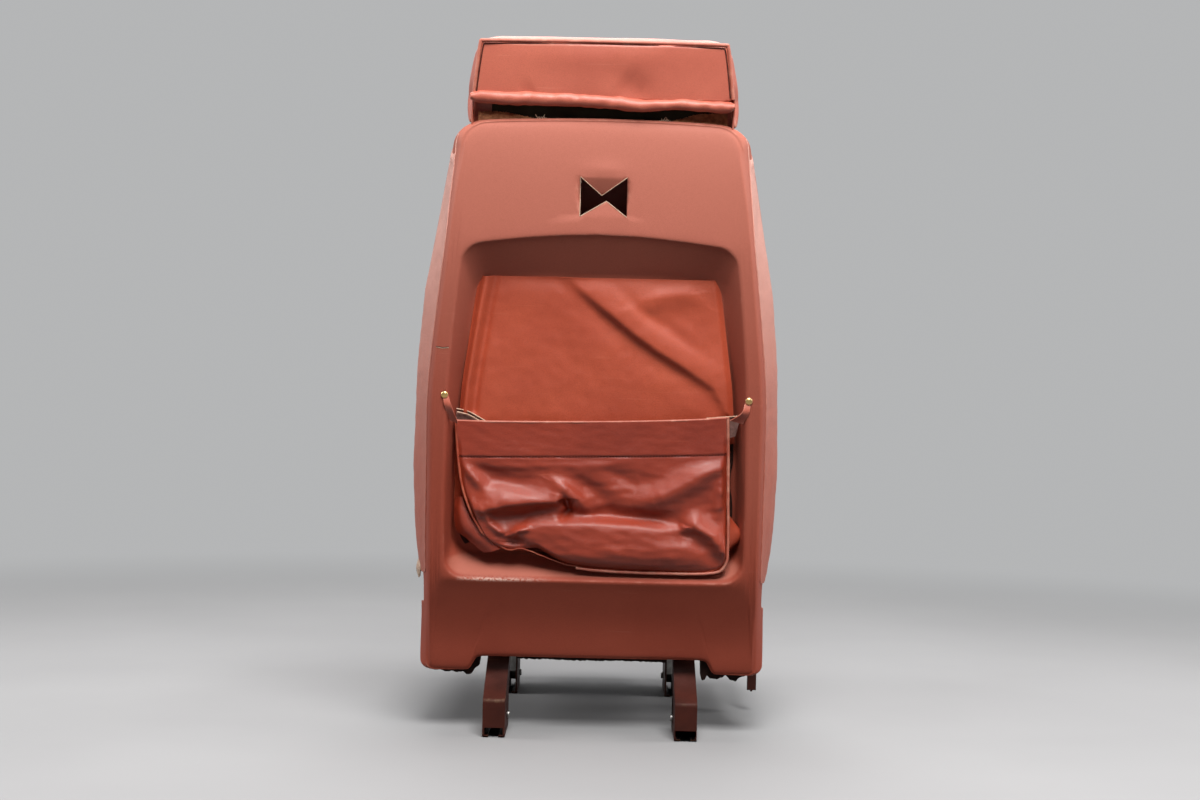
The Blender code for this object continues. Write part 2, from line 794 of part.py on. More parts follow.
def shell_rings():
    """The rings of the shell's rear skin, from its front rim round the face into the recess."""
    outer = half_ring(SHELL_TOP, 0.004, crease_half, 0.036, SHELL_BOTTOM, 0.010, arch_height)
    rim = half_ring(RECESS_TOP, 0.012, rim_half, 0.034, RECESS_BOTTOM, 0.030, None)
    floor = half_ring(FLOOR_TOP, 0.003, floor_half, 0.030, FLOOR_BOTTOM, 0.030, None)
    middle_v = SHELL_TOP / 2

    def inward(ring, distance):
        """The ring moved towards the object's middle, across its own line."""
        moved = []
        for i, (x, v) in enumerate(ring):
            before = ring[max(i - 1, 0)]
            after = ring[min(i + 1, len(ring) - 1)]
            heading = Vector((after[0] - before[0], after[1] - before[1])).normalized()
            normal = Vector((heading.y, -heading.x))
            if i in (0, len(ring) - 1):
                normal = Vector((0.0, -1.0 if v > middle_v else 1.0))
            moved.append((x + normal.x * distance, v + normal.y * distance))
        return moved

    def rim_front(x, v):
        """How far forward the side, top and bottom walls reach."""
        if v > middle_v:
            return blend([(SHELL_TOP - 0.062, SIDE_RIM_W), (SHELL_TOP - 0.024, TOP_RIM_W)], v)
        side = blend([(SHELL_BOTTOM, BOTTOM_RIM_W), (SHELL_BOTTOM + 0.03, SIDE_RIM_W)], v)
        return blend([(0.150, BOTTOM_RIM_W), (0.205, side)], abs(x))

    rings = []
    wide = inward(outer, -SIDE_FLARE)
    tall = inward(outer, -0.004)
    front = [(side[0], end[1]) for side, end in zip(wide, tall)]
    for i, (x, v) in enumerate(front):
        if abs(x) < 0.20 and v < 0:
            front[i] = (outer[i][0], outer[i][1] + 0.001)
    rings.append([Vector((x, rim_front(x, v), v)) for x, v in front])
    for share in (0.45, 0.82):
        ring = []
        for (fx, fv), (ox, ov) in zip(front, outer):
            depth = rim_front(fx, fv)
            w = depth + (face_depth(ov) - depth) * share
            ring.append(Vector((fx + (ox - fx) * share, w, fv + (ov - fv) * share)))
        rings.append(ring)
    for distance, drop in ((0.0012, 0.0032), (0.0035, 0.0010)):
        ring = [Vector((x, face_depth(v) - drop, v)) for x, v in inward(outer, distance)]
        rings.append(ring)
    for share in (0.10, 0.30, 0.52, 0.74, 0.88, 0.955):
        ring = []
        for (ox, ov), (ix, iv) in zip(inward(outer, 0.0035), inward(rim, -0.003)):
            x = ox + (ix - ox) * share
            v = ov + (iv - ov) * share
            ring.append(Vector((x, face_depth(v), v)))
        rings.append(ring)
    for distance, drop in ((-0.003, 0.0), (0.0, 0.0012), (0.0022, 0.0045)):
        rings.append([Vector((x, face_depth(v) - drop, v)) for x, v in inward(rim, distance)])
    low = floor_depth()
    for share in (0.35, 0.72, 0.93):
        ring = []
        for (rx, rv), (fx, fv) in zip(inward(rim, 0.0022), floor):
            start = face_depth(rv) - 0.0045
            x = rx + (fx - rx) * share
            v = rv + (fv - rv) * share
            ring.append(Vector((x, start + (low + 0.0015 - start) * share, v)))
        rings.append(ring)
    rings.append([Vector((x, low, v)) for x, v in inward(floor, 0.003)])
    rings.append([Vector((x, low, v)) for x, v in inward(floor, FLANGE)])
    return [mirrored(ring) for ring in rings]


def back_shell(parent):
    """The moulded shell: a skin through its rings, given its wall, then cut."""
    skin = loft_mesh(shell_rings(), capped=False)
    mesh = bpy.data.meshes.new("back_shell")
    skin.to_mesh(mesh)
    skin.free()
    made = bpy.data.objects.new("back_shell", mesh)
    bpy.context.collection.objects.link(made)
    made.parent = parent
    made.data.materials.append(finish("shell_plastic"))
    mesh.shade_smooth()
    wall = made.modifiers.new("wall", "SOLIDIFY")
    wall.thickness = SHELL_THICK
    wall.offset = -1.0
    wall.use_even_offset = True
    left, right, bottom, top = CUT_OUT
    middle_x = (left + right) / 2
    middle_v = (bottom + top) / 2
    neck = CUT_OUT_NECK / 2
    bow = [
        (left, bottom),
        (middle_x, middle_v - neck),
        (right, bottom),
        (right, top),
        (middle_x, middle_v + neck),
        (left, top),
    ]
    carve(made, prism_mesh(bow, 0.030, 0.090, "Y"), parent)
    for sign in (1, -1):
        side = (sign * crease_half(NOTCH_V), 0.0, NOTCH_V)
        carve(made, bar_mesh(NOTCH_RADIUS, -NOTCH_REACH, NOTCH_REACH, "X", side), parent)
        seat = (sign * STUD_X, face_depth(STUD_V), STUD_V)
        bore = STUD_SHANK + GAP
        carve(made, bar_mesh(bore, -2 * SHELL_THICK, SHELL_THICK, "Y", seat, sides=8), parent)
    return made


def studs(parent):
    """Two domed brass studs that hold the pocket's straps at the recess's rim."""
    top = face_depth(STUD_V) + GAP
    profile = [
        (0.0, -SHELL_THICK),
        (STUD_SHANK, -SHELL_THICK),
        (STUD_SHANK, 0.0),
        (STUD_RADIUS, 0.0),
        (STUD_RADIUS, 0.0008),
        (STUD_RADIUS * 0.8, 0.0019),
        (STUD_RADIUS * 0.45, 0.0026),
        (0.0, 0.0029),
    ]
    for side, sign in (("left", 1), ("right", -1)):
        stud = turned_mesh(profile, "Y", (sign * STUD_X, top, STUD_V), sides=16)
        piece(f"pocket_stud_{side}", stud, "brass", parent)


def stile_x(v):
    return blend([(STILE_BEND_V, STILE_FOOT_X), (STILE_TOP_V, STILE_HEAD_X)], v)


def back_frame(parent):
    """Two bent stiles with hinge lugs, joined by three cross rails."""
    for side, sign in (("left", 1), ("right", -1)):
        route = [
            (sign * STILE_FOOT_X, FRAME_W, STILE_FOOT_V),
            (sign * STILE_FOOT_X, FRAME_W, STILE_BEND_V),
            (sign * STILE_HEAD_X, FRAME_W, STILE_TOP_V),
        ]
        bent = rounded(route, STILE_BEND, steps=5, closed=False)
        tube = pipe_mesh("stile", bent, STILE_RADIUS, detail=4)
        made = piece(f"back_stile_{side}", tube, "frame_paint", parent)
        faces = sorted((sign * (BRACKET_X - RUN), sign * (BRACKET_X - RUN - LUG_WIDTH)))
        outline = link_outline((0.0, 0.0), LUG_RADIUS, (FRAME_W, LUG_TOP_V), STILE_RADIUS - 0.0007)
        join(made, prism_mesh(outline, *faces, "X"), parent)
        pivot = (sign * STILE_FOOT_X, 0, 0)
        carve(made, bar_mesh(PIVOT_RADIUS + GAP, -LUG_WIDTH, LUG_WIDTH, "X", pivot), parent)
    for name, v in (("lower", LOWER_RAIL_V), ("middle", MIDDLE_RAIL_V), ("top", TOP_RAIL_V)):
        half = min(stile_x(v), stile_x(v + STILE_RADIUS)) - STILE_RADIUS - GAP
        rail = bar_mesh(STILE_RADIUS, -half, half, "X", (0, FRAME_W, v))
        piece(f"back_{name}_rail", rail, "frame_paint", parent)


def back_board(parent):
    """A khaki board on the rails, behind the recess's window."""
    low = FRAME_W + STILE_RADIUS + GAP
    half = floor_half(FLOOR_BOTTOM) - 0.006
    top_half = floor_half(FLOOR_TOP) - 0.004
    corners = [
        (-half, FLOOR_BOTTOM - 0.012),
        (half, FLOOR_BOTTOM - 0.012),
        (half, BOARD_SHOULDER_V),
        (top_half, FLOOR_TOP),
        (-top_half, FLOOR_TOP),
        (-half, BOARD_SHOULDER_V),
    ]
    outline = rounded(corners, 0.012, steps=3)
    piece("back_board", prism_mesh(outline, low, low + BOARD_THICK, "Y"), "khaki_board", parent)


def pocket_lining(parent):
    """The leather panel that closes the recess's window."""
    low = floor_depth() + GAP
    half = floor_half(LINING_BOTTOM) - 0.006
    top_half = floor_half(LINING_TOP) - 0.006
    corners = [
        (-half, LINING_BOTTOM + 0.004),
        (half, LINING_BOTTOM + 0.004),
        (half, BOARD_SHOULDER_V - 0.030),
        (top_half, LINING_TOP - 0.004),
        (-top_half, LINING_TOP - 0.004),
        (-half, BOARD_SHOULDER_V - 0.030),
    ]
    outline = rounded(corners, 0.020, steps=4)
    piece("pocket_lining", prism_mesh(outline, low, low + LEATHER, "Y"), "leather", parent)


def pocket_outline(inset, top):
    low = POCKET_BOTTOM + inset
    left = POCKET_SHIFT - POCKET_HALF + inset
    right = POCKET_SHIFT + POCKET_HALF - inset
    corners = [(left, low), (right, low), (right, top), (left, top)]
    return rounded_bottom(corners, 0.014 - inset / 2)


def rounded_bottom(corners, radius, steps=4):
    """A rectangle whose two lower corners are round."""
    low_left, low_right, high_right, high_left = [Vector(corner) for corner in corners]
    outline = []
    for corner, angle in ((low_left, math.pi), (low_right, 1.5 * math.pi)):
        toward = 1 if corner is low_left else -1
        centre = corner + Vector((toward * radius, radius))
        for step in range(steps + 1):
            turn = angle + step / steps * math.pi / 2
            outline.append(centre + radius * Vector((math.cos(turn), math.sin(turn))))
    return outline + [high_right, high_left]


def pocket_skin(inset, top, low_w, high_w):
    """The pocket's body between two depths; its gusset tucks in towards the lining."""
    rear = pocket_outline(inset + POCKET_TUCK, top)
    front = pocket_outline(inset, top)
    rings = [[Vector((x, w, v)) for x, v in ring] for ring, w in ((rear, low_w), (front, high_w))]
    return loft_mesh(rings)


def map_pocket(parent):
    """A gusseted pocket of leather, open at the top, over the lining."""
    low = floor_depth() + GAP + LEATHER + GAP
    made = piece("map_pocket", pocket_skin(0.0, POCKET_TOP, low, POCKET_FRONT_W), "leather", parent)
    carve(made, pocket_skin(LEATHER, POCKET_TOP + 0.02, low - 0.003, POCKET_FRONT_W - LEATHER), parent)
    return made


def bolster_half(v):
    """Half width of the back cushion over its bolsters."""
    return blend(
        [
            (0.022, 0.2440),
            (0.084, 0.2520),
            (0.176, 0.2545),
            (0.322, 0.2487),
            (0.424, 0.2385),
            (0.506, 0.2226),
            (0.619, 0.2015),
            (0.638, 0.1850),
        ],
        v,
    )


def back_cushion(parent):
    """The back cushion: a flat middle between two raised side bolsters."""
    rear = FRAME_W - STILE_RADIUS - 2 * (POST_RADIUS + RUN + SOCKET_WALL) - 2 * GAP
    stations = (0.0, 0.025, 0.07, 0.20, 0.36, 0.52, 0.68, 0.82, 0.92, 0.97, 1.0)
    rings = []
    for t in stations:
        v = BACK_BOTTOM_V + (BACK_TOP_V - BACK_BOTTOM_V) * t
        half = bolster_half(v)
        end = min(1.0, 0.55 + 9 * t, 0.55 + 9 * (1 - t))
        middle = rear + (BACK_FRONT_W - rear) * end
        bolster = rear + (BOLSTER_FRONT_W - rear) * end
        inner = half - 0.085
        right = [
            (0.0, middle),
            (inner * 0.6, middle),
            (inner, middle - 0.002),
            (inner + 0.018, (middle + bolster) / 2),
            (inner + 0.034, bolster),
            (half - 0.026, bolster),
            (half - 0.008, bolster + 0.012),
            (half, bolster + 0.034),
            (half, rear - 0.004),
            (half - 0.004, rear),
            (inner, rear),
            (0.0, rear),
        ]
        left = [(-x, w) for x, w in reversed(right[1:-1])]
        rings.append([Vector((x, w, v)) for x, w in right + left])
    return piece("back_cushion", loft_mesh(rings), "leather", parent)


# Headrest


def headrest_sockets(parent):
    """Tubes on the front of the top rail that guide the headrest's posts."""
    inner = POST_RADIUS + RUN
    outer = inner + SOCKET_WALL
    w = socket_depth()
    profile = [
        (inner, SOCKET_BOTTOM_V),
        (outer, SOCKET_BOTTOM_V),
        (outer, SOCKET_TOP_V),
        (inner, SOCKET_TOP_V),
    ]
    for side, sign in (("left", 1), ("right", -1)):
        tube = turned_mesh(profile, "Z", (sign * POST_X, w, 0), closed=True)
        piece(f"headrest_socket_{side}", tube, "steel", parent)


def socket_depth():
    return FRAME_W - STILE_RADIUS - GAP - POST_RADIUS - RUN - SOCKET_WALL


def headrest_frame(parent):
    """The plate under the headrest with its rear flange and its two posts."""
    half = HEAD_TOP_HALF - 0.018
    plate_top = HEAD_BOTTOM_V + HEAD_PLATE
    front = socket_depth() - 0.024
    back = HEAD_STEP_W
    section = [
        (front, HEAD_BOTTOM_V),
        (back, HEAD_BOTTOM_V),
        (back, HEAD_STEP_V),
        (back - HEAD_PLATE, HEAD_STEP_V),
        (back - HEAD_PLATE, plate_top),
        (front, plate_top),
    ]
    made = piece("headrest_frame", prism_mesh(section, -half, half, "X"), "khaki_board", parent)
    profile = [
        (0.0, POST_BOTTOM_V),
        (POST_RADIUS * 0.7, POST_BOTTOM_V),
        (POST_RADIUS, POST_BOTTOM_V + 0.003),
        (POST_RADIUS, plate_top - 0.0005),
        (0.0, plate_top - 0.0005),
    ]
    for sign in (1, -1):
        post = turned_mesh(profile, "Z", (sign * POST_X, socket_depth(), 0))
        join(made, post, parent)
    return made


def headrest_cushion(parent):
    """A trapezoid box cushion, stepped at the lower back where the plate's flange stands."""
    plate_top = HEAD_BOTTOM_V + HEAD_PLATE + GAP
    back = HEAD_STEP_W - HEAD_PLATE - GAP
    section = [
        (HEAD_FRONT_W + 0.010, plate_top),
        (back, plate_top),
        (back, HEAD_STEP_V + GAP),
        (HEAD_BACK_W, HEAD_STEP_V + 0.001),
        (HEAD_BACK_W, HEAD_TOP_V - 0.010),
        (HEAD_BACK_W - 0.004, HEAD_TOP_V - 0.002),
        (HEAD_BACK_W - 0.012, HEAD_TOP_V),
        (HEAD_FRONT_W + 0.022, HEAD_TOP_V),
        (HEAD_FRONT_W + 0.007, HEAD_TOP_V - 0.007),
        (HEAD_FRONT_W, HEAD_TOP_V - 0.022),
        (HEAD_FRONT_W, plate_top + 0.022),
        (HEAD_FRONT_W + 0.003, plate_top + 0.008),
    ]
    middle_w = (HEAD_FRONT_W + HEAD_BACK_W) / 2
    middle_v = (plate_top + HEAD_TOP_V) / 2
    rings = []
    for share, shrink in (
        (-1.0, 0.90), (-0.985, 0.965), (-0.955, 1.0), (-0.5, 1.0), (0.0, 1.0),
        (0.5, 1.0), (0.955, 1.0), (0.985, 0.965), (1.0, 0.90),
    ):
        ring = []
        for w, v in section:
            if v > plate_top + 0.03:
                w = middle_w + (w - middle_w) * shrink
                v = middle_v + (v - middle_v) * shrink
            half = blend([(HEAD_BOTTOM_V, HEAD_BOTTOM_HALF), (HEAD_TOP_V, HEAD_TOP_HALF)], v)
            ring.append(Vector((half * share, w, v)))
        rings.append(ring)
    return piece("headrest_cushion", loft_mesh(rings), "leather", parent)


# Recline lock


def lock_height():
    """Height of the lock's axis: that of the arm's tip at rest."""
    return HINGE_Z + ARM_TIP_V * math.cos(LEAN) - ARM_TIP_W * math.sin(LEAN)


def tip_y():
    return HINGE_Y + ARM_TIP_W * math.cos(LEAN) + ARM_TIP_V * math.sin(LEAN)


def recline_arm(parent):
    """A plate down from the backrest's lower rail to the lock rod, and its pin."""
    near = LOCK_X - EYE_WIDTH / 2 - RUN
    outline = link_outline(
        (FRAME_W, LOWER_RAIL_V), STILE_RADIUS + ARM_SHEET, (ARM_TIP_W, ARM_TIP_V), ARM_TIP_RADIUS
    )
    made = piece("recline_arm", prism_mesh(outline, near - ARM_SHEET, near, "X"), "frame_paint", parent)
    reach = 2 * ARM_SHEET
    rail = (near, FRAME_W, LOWER_RAIL_V)
    tip = (near, ARM_TIP_W, ARM_TIP_V)
    carve(made, bar_mesh(STILE_RADIUS + GAP, -reach, reach, "X", rail), parent)
    carve(made, bar_mesh(ARM_PIN_RADIUS + GAP, -reach, reach, "X", tip, sides=16), parent)
    front = FRAME_W + STILE_RADIUS
    board_room = box_outline(front, front + 0.020, FLOOR_BOTTOM - 0.016, LOWER_RAIL_V + 0.030)
    carve(made, prism_mesh(board_room, near - reach, near + reach, "X"), parent)
    head = near - ARM_SHEET - GAP
    far = LOCK_X + EYE_WIDTH / 2 + RUN
    pin = bolt_mesh(head, far, ARM_PIN_RADIUS, ARM_PIN_HEAD, (0, ARM_TIP_W, ARM_TIP_V), sides=16)
    piece("lock_pivot_pin", pin, "steel", parent)


def lock_rod():
    """The lock's rod, which slides in the cylinder, with the eye round the arm's pin."""
    y = tip_y()
    slide = empty("lock_rod_axis", (LOCK_X, y, lock_height()))
    middle = (0, 0, 0)
    half = EYE_WIDTH / 2
    bar = bar_mesh(ROD_RADIUS, ROD_FRONT - y, 0.001 - EYE_RADIUS, "Y", middle, sides=16)
    made = piece("lock_rod", bar, "steel", slide)
    join(made, bar_mesh(EYE_RADIUS, -half, half, "X", middle), slide)
    carve(made, bar_mesh(ARM_PIN_RADIUS + EYE_CLEARANCE, -EYE_WIDTH, EYE_WIDTH, "X", middle), slide)
    return made


def lock_cylinder():
    """The lock's cylinder on its trunnions, bored for the rod and for the release plunger."""
    bore = ROD_RADIUS + RUN
    plunger_bore = PLUNGER_RADIUS + RUN
    deep = ROD_FRONT - ROD_TRAVEL - 0.004
    shallow = plunger_nose() + PLUNGER_LENGTH + PLUNGER_TRAVEL + RUN
    profile = [
        (0.0, shallow),
        (plunger_bore, shallow),
        (plunger_bore, LOCK_FRONT),
        (LOCK_RADIUS - 0.003, LOCK_FRONT),
        (LOCK_RADIUS, LOCK_FRONT + 0.003),
        (LOCK_RADIUS, LOCK_BACK - LOCK_COLLAR - 0.002),
        (LOCK_RADIUS + 0.0015, LOCK_BACK - LOCK_COLLAR),
        (LOCK_RADIUS + 0.0015, LOCK_BACK),
        (bore, LOCK_BACK),
        (bore, deep),
        (0.0, deep),
    ]
    made = piece("lock_cylinder", turned_mesh(profile, "Y", (LOCK_X, 0, lock_height())), "steel")
    root = LOCK_RADIUS - 0.003
    reach = CHEEK_OUTER + 0.001
    for sign in (1, -1):
        low, high = sorted((sign * root, sign * reach))
        trunnion = (LOCK_X, TRUNNION_Y, lock_height())
        join(made, bar_mesh(TRUNNION_RADIUS, low, high, "X", trunnion, sides=16))
    return made


def lock_bracket():
    """Two cheeks hung from a top plate that reaches in to the frame rail's side."""
    inner, outer = CHEEK_INNER, CHEEK_OUTER
    rail_side = -(RAIL_SPACING / 2 + LEG_WIDTH / 2) - GAP
    z = lock_height()
    front, back = SHAFT_Y - 0.013, TRUNNION_Y + 0.012
    low = z - SHAFT_DROP - 0.010
    corners = [(front, low), (0.0, low), (back, z - 0.010), (back, FRAME_TOP), (front, FRAME_TOP)]
    outline = rounded(corners, 0.004, steps=2)
    made = piece("lock_bracket", prism_mesh(outline, LOCK_X - outer, rail_side, "X"), "frame_paint")
    inside = box_outline(front - 0.01, back + 0.01, low - 0.01, FRAME_TOP - CHEEK_SHEET)
    carve(made, prism_mesh(inside, LOCK_X - inner, LOCK_X + inner, "X"))
    carve(made, prism_mesh(inside, LOCK_X + outer, rail_side + 0.01, "X"))
    for y, height, radius in (
        (TRUNNION_Y, z, TRUNNION_RADIUS + RUN),
        (SHAFT_Y, z - SHAFT_DROP, SHAFT_RADIUS + RUN),
    ):
        carve(made, bar_mesh(radius, -2 * outer, 2 * outer, "X", (LOCK_X, y, height), sides=16))
    return made


def plunger_nose():
    return SHAFT_Y + FINGER_THICK / 2 + GAP


def release_plunger():
    """The valve plunger that the lever's finger presses."""
    slide = empty("release_plunger_axis", (LOCK_X, plunger_nose(), lock_height()))
    profile = [
        (0.0, 0.0),
        (PLUNGER_NOSE * 0.7, 0.0),
        (PLUNGER_NOSE, 0.0006),
        (PLUNGER_NOSE, 0.0035),
        (PLUNGER_RADIUS, 0.0045),
        (PLUNGER_RADIUS, PLUNGER_LENGTH),
        (0.0, PLUNGER_LENGTH),
    ]
    return piece("release_plunger", turned_mesh(profile, "Y", (0, 0, 0), sides=16), "brass", slide)


# Recline lever


def recline_lever():
    """A plate lever with a flanged tail, on a shaft whose finger presses the plunger."""
    z = lock_height() - SHAFT_DROP
    pivot = empty("recline_lever_axis", (0, SHAFT_Y, z))
    outer = LEVER_X - LEVER_SHEET / 2
    inner = LEVER_X + LEVER_SHEET / 2
    tail = z - LEVER_TAIL_Z
    grip_front, grip_back = GRIP_Y
    arm_end = grip_back + 0.030 - SHAFT_Y
    hub = 0.013
    corners = [
        (-hub, hub * 0.2),
        (arm_end, 0.001),
        (arm_end, -0.013),
        (-0.016, -0.018),
        (-0.006, -0.032),
        (-0.0035, 0.006 - tail),
        (0.0, -tail),
        (0.0055, 0.004 - tail),
        (0.0075, -0.030),
        (hub, -0.004),
        (hub * 0.6, hub),
        (-hub * 0.4, hub),
    ]
    plate = prism_mesh(rounded(corners, 0.004, steps=2), outer, inner, "X")
    made = piece("recline_lever", plate, "frame_paint", pivot)
    flange = [(0.0030, -0.030), (0.0075, -0.030), (0.0055, 0.004 - tail), (0.0010, 0.004 - tail)]
    low, high = LEVER_X - LEVER_TAIL_WIDTH / 2, LEVER_X + LEVER_TAIL_WIDTH / 2
    join(made, prism_mesh(rounded(flange, 0.001, 1), low, high, "X"), pivot)
    bore = SHAFT_RADIUS + GAP
    carve(made, bar_mesh(bore, -LEVER_TAIL_WIDTH, LEVER_TAIL_WIDTH, "X", (LEVER_X, 0, 0), sides=16), pivot)
    tang_front = grip_front + 0.015 - SHAFT_Y
    tang_low, tang_high = -0.0105, -0.0025
    tang = box_outline(tang_front, arm_end + 0.006, tang_low, tang_high)
    join(made, prism_mesh(tang, outer, inner, "X"), pivot)

    head = outer - GAP
    far = LOCK_X + CHEEK_OUTER + GAP
    shaft = bolt_mesh(head, far, SHAFT_RADIUS, SHAFT_HEAD, (0, 0, 0), sides=16)
    axle = piece("lever_shaft", shaft, "steel", pivot)
    reach = SHAFT_DROP + 0.006
    finger = rounded(box_outline(-FINGER_THICK / 2, FINGER_THICK / 2, 0.0, reach), 0.0015, 1)
    join(axle, prism_mesh(finger, LOCK_X - 0.004, LOCK_X + 0.004, "X"), pivot)

    sleeve = [
        (0.0, grip_front),
        (GRIP_RADIUS * 0.7, grip_front),
        (GRIP_RADIUS, grip_front + 0.006),
        (GRIP_RADIUS * 0.86, grip_front + 0.045),
        (GRIP_RADIUS, grip_back - 0.006),
        (GRIP_RADIUS * 0.8, grip_back),
        (0.0, grip_back),
    ]
    sleeve = [(radius, height - SHAFT_Y) for radius, height in sleeve]
    turned = turned_mesh(sleeve, "Y", (LEVER_X, 0, (tang_low + tang_high) / 2), sides=16)
    grip = piece("lever_grip", turned, "grip_plastic", pivot)
    slot = box_outline(tang_front - GAP, grip_back - SHAFT_Y + GAP, tang_low - GAP, tang_high + GAP)
    carve(grip, prism_mesh(slot, outer - GAP, inner + GAP, "X"), pivot)


# Fore-and-aft adjustment


def dowel_height():
    return BAR_Z + BAR_RADIUS + GAP + DOWEL_RADIUS


def lock_pins():
    """The two rail lock pins with their collars, dowels, guides and springs."""
    for side, sign in (("left", 1), ("right", -1)):
        x = sign * RAIL_SPACING / 2
        slide = empty(f"lock_pin_axis_{side}", (x, PIN_Y, 0))
        collar_top = COLLAR_Z + COLLAR_THICK
        profile = [
            (0.0, PIN_TIP_Z),
            (PIN_RADIUS * 0.6, PIN_TIP_Z),
            (PIN_RADIUS, PIN_TIP_Z + 0.004),
            (PIN_RADIUS, COLLAR_Z),
            (COLLAR_RADIUS, COLLAR_Z),
            (COLLAR_RADIUS, collar_top),
            (PIN_RADIUS, collar_top),
            (PIN_RADIUS, PIN_TOP_Z),
            (0.0, PIN_TOP_Z),
        ]
        made = piece(f"lock_pin_{side}", turned_mesh(profile, "Z", (0, 0, 0), sides=16), "steel", slide)
        reach = BAR_X + BAR_RADIUS - RAIL_SPACING / 2
        ends = sorted((0.0, sign * reach))
        join(made, bar_mesh(DOWEL_RADIUS, *ends, "X", (0, 0, dowel_height()), sides=12), slide)
        pin_guide(f"pin_guide_{side}", x)
        pin_spring(f"pin_spring_{side}", x, collar_top)
        slot_low = BAR_Z + BAR_RADIUS
        slot_high = dowel_height() + DOWEL_RADIUS + PIN_LIFT + 0.001
        beside = DOWEL_RADIUS + 0.0007
        slot = box_outline(PIN_Y - beside, PIN_Y + beside, slot_low - 0.0007, slot_high)
        inner = RAIL_SPACING / 2 + LEG_WIDTH / 2 - 2 * LEG_SHEET
        ends = sorted((sign * inner, sign * (inner + 3 * LEG_SHEET)))
        carve(bpy.data.objects[f"front_leg_{side}"], prism_mesh(slot, *ends, "X"))


def pin_guide(name, x):
    """A C-shaped bracket inside the leg that holds the pin upright at two heights."""
    half = LEG_WIDTH / 2 - LEG_SHEET - GAP
    back = PIN_Y + 0.013
    front = PIN_Y - 0.010
    wall = 0.003
    section = [
        (back, GUIDE_LOW_Z),
        (front, GUIDE_LOW_Z),
        (front, GUIDE_LOW_Z + GUIDE_SHEET),
        (back - wall, GUIDE_LOW_Z + GUIDE_SHEET),
        (back - wall, GUIDE_HIGH_Z),
        (front, GUIDE_HIGH_Z),
        (front, GUIDE_HIGH_Z + GUIDE_SHEET),
        (back, GUIDE_HIGH_Z + GUIDE_SHEET),
    ]
    made = piece(name, prism_mesh(section, x - half, x + half, "X"), "steel")
    carve(made, bar_mesh(PIN_RADIUS + RUN, 0.0, PIN_TOP_Z, "Z", (x, PIN_Y, 0), sides=16))
    return made


def pin_spring(name, x, low):
    """A coil spring between a pin's collar and its upper guide."""
    start = low + SPRING_WIRE + GAP
    end = GUIDE_HIGH_Z - SPRING_WIRE - GAP
    steps = SPRING_TURNS * SPRING_STEPS
    flat = SPRING_STEPS / 2
    route = []
    for step in range(steps + 1):
        angle = 2 * math.pi * step / SPRING_STEPS
        rise = min(max((step - flat) / (steps - 2 * flat), 0.0), 1.0)
        height = start + (end - start) * rise
        route.append((x + SPRING_RADIUS * math.cos(angle), PIN_Y + SPRING_RADIUS * math.sin(angle), height))
    return piece(name, pipe_mesh(name, route, SPRING_WIRE, detail=0), "steel")


def adjust_bar():
    """The U-shaped bar under the seat's front edge, and the brackets and bolts that carry it."""
    pivot = empty("adjust_bar_axis", (0, BAR_PIVOT_Y, BAR_Z))
    front = BAR_FRONT - BAR_PIVOT_Y
    corners = [(BAR_X, -0.004, 0), (BAR_X, front, 0), (-BAR_X, front, 0), (-BAR_X, -0.004, 0)]
    route = rounded(corners, BAR_BEND, steps=6, closed=False)
    made = piece("adjust_bar", pipe_mesh("adjust_bar", route, BAR_RADIUS, detail=2), "frame_paint", pivot)
    reach = 2 * BAR_RADIUS
    for sign in (1, -1):
        end = (sign * BAR_X, 0, 0)
        join(made, bar_mesh(BAR_EYE, -BAR_RADIUS, BAR_RADIUS, "X", end, sides=16), pivot)
        carve(made, bar_mesh(AXLE_RADIUS + RUN, -reach, reach, "X", end, sides=12), pivot)
    for side, sign in (("left", 1), ("right", -1)):
        near = RAIL_SPACING / 2 + LEG_WIDTH / 2 + GAP
        plate_out = BAR_X - BAR_RADIUS - RUN
        faces = sorted((sign * near, sign * plate_out))
        half = FRAME_DEPTH / 2 + 0.001
        outline = link_outline((BAR_PIVOT_Y, FRAME_TOP - half), half, (BAR_PIVOT_Y, BAR_Z), BAR_EYE)
        bracket = piece(f"bar_bracket_{side}", prism_mesh(outline, *faces, "X"), "frame_paint")
        bolt_place = (0, BAR_PIVOT_Y, BAR_Z)
        low, high = sorted((sign * (near - GAP), sign * (BAR_X + BAR_RADIUS + RUN)))
        carve(bracket, bar_mesh(AXLE_RADIUS + GAP, low, high, "X", bolt_place, sides=12))
        bolt = bolt_mesh(low, high, AXLE_RADIUS, AXLE_HEAD, bolt_place)
        piece(f"bar_bolt_{side}", bolt, "steel")


def build():
    clear_scene()
    legs()
    frame_rails()
    cross_tube("front_cross_tube", FRONT_CROSS_Y, PAN_HALF - PAN_SHEET - 0.008)
    cross_tube("rear_cross_tube", REAR_CROSS_Y, BRACKET_X - GAP)
    seat_pan()
    seat_cushion()
    hinge_brackets()
    hinge = empty("backrest_axis", (0, HINGE_Y, HINGE_Z), turn=-LEAN)
    back_frame(hinge)
    back_board(hinge)
    back_cushion(hinge)
    back_shell(hinge)
    studs(hinge)
    pocket_lining(hinge)
    map_pocket(hinge)
    headrest_sockets(hinge)
    recline_arm(hinge)
    post = empty("headrest_axis", (0, 0, 0), hinge)
    headrest_frame(post)
    headrest_cushion(post)
    lock_bracket()
    lock_cylinder()
    lock_rod()
    release_plunger()
    recline_lever()
    lock_pins()
    adjust_bar()


build()
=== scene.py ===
import json
import math

import bpy
import numpy as np
from mathutils import Matrix, Vector, noise
from mathutils.bvhtree import BVHTree

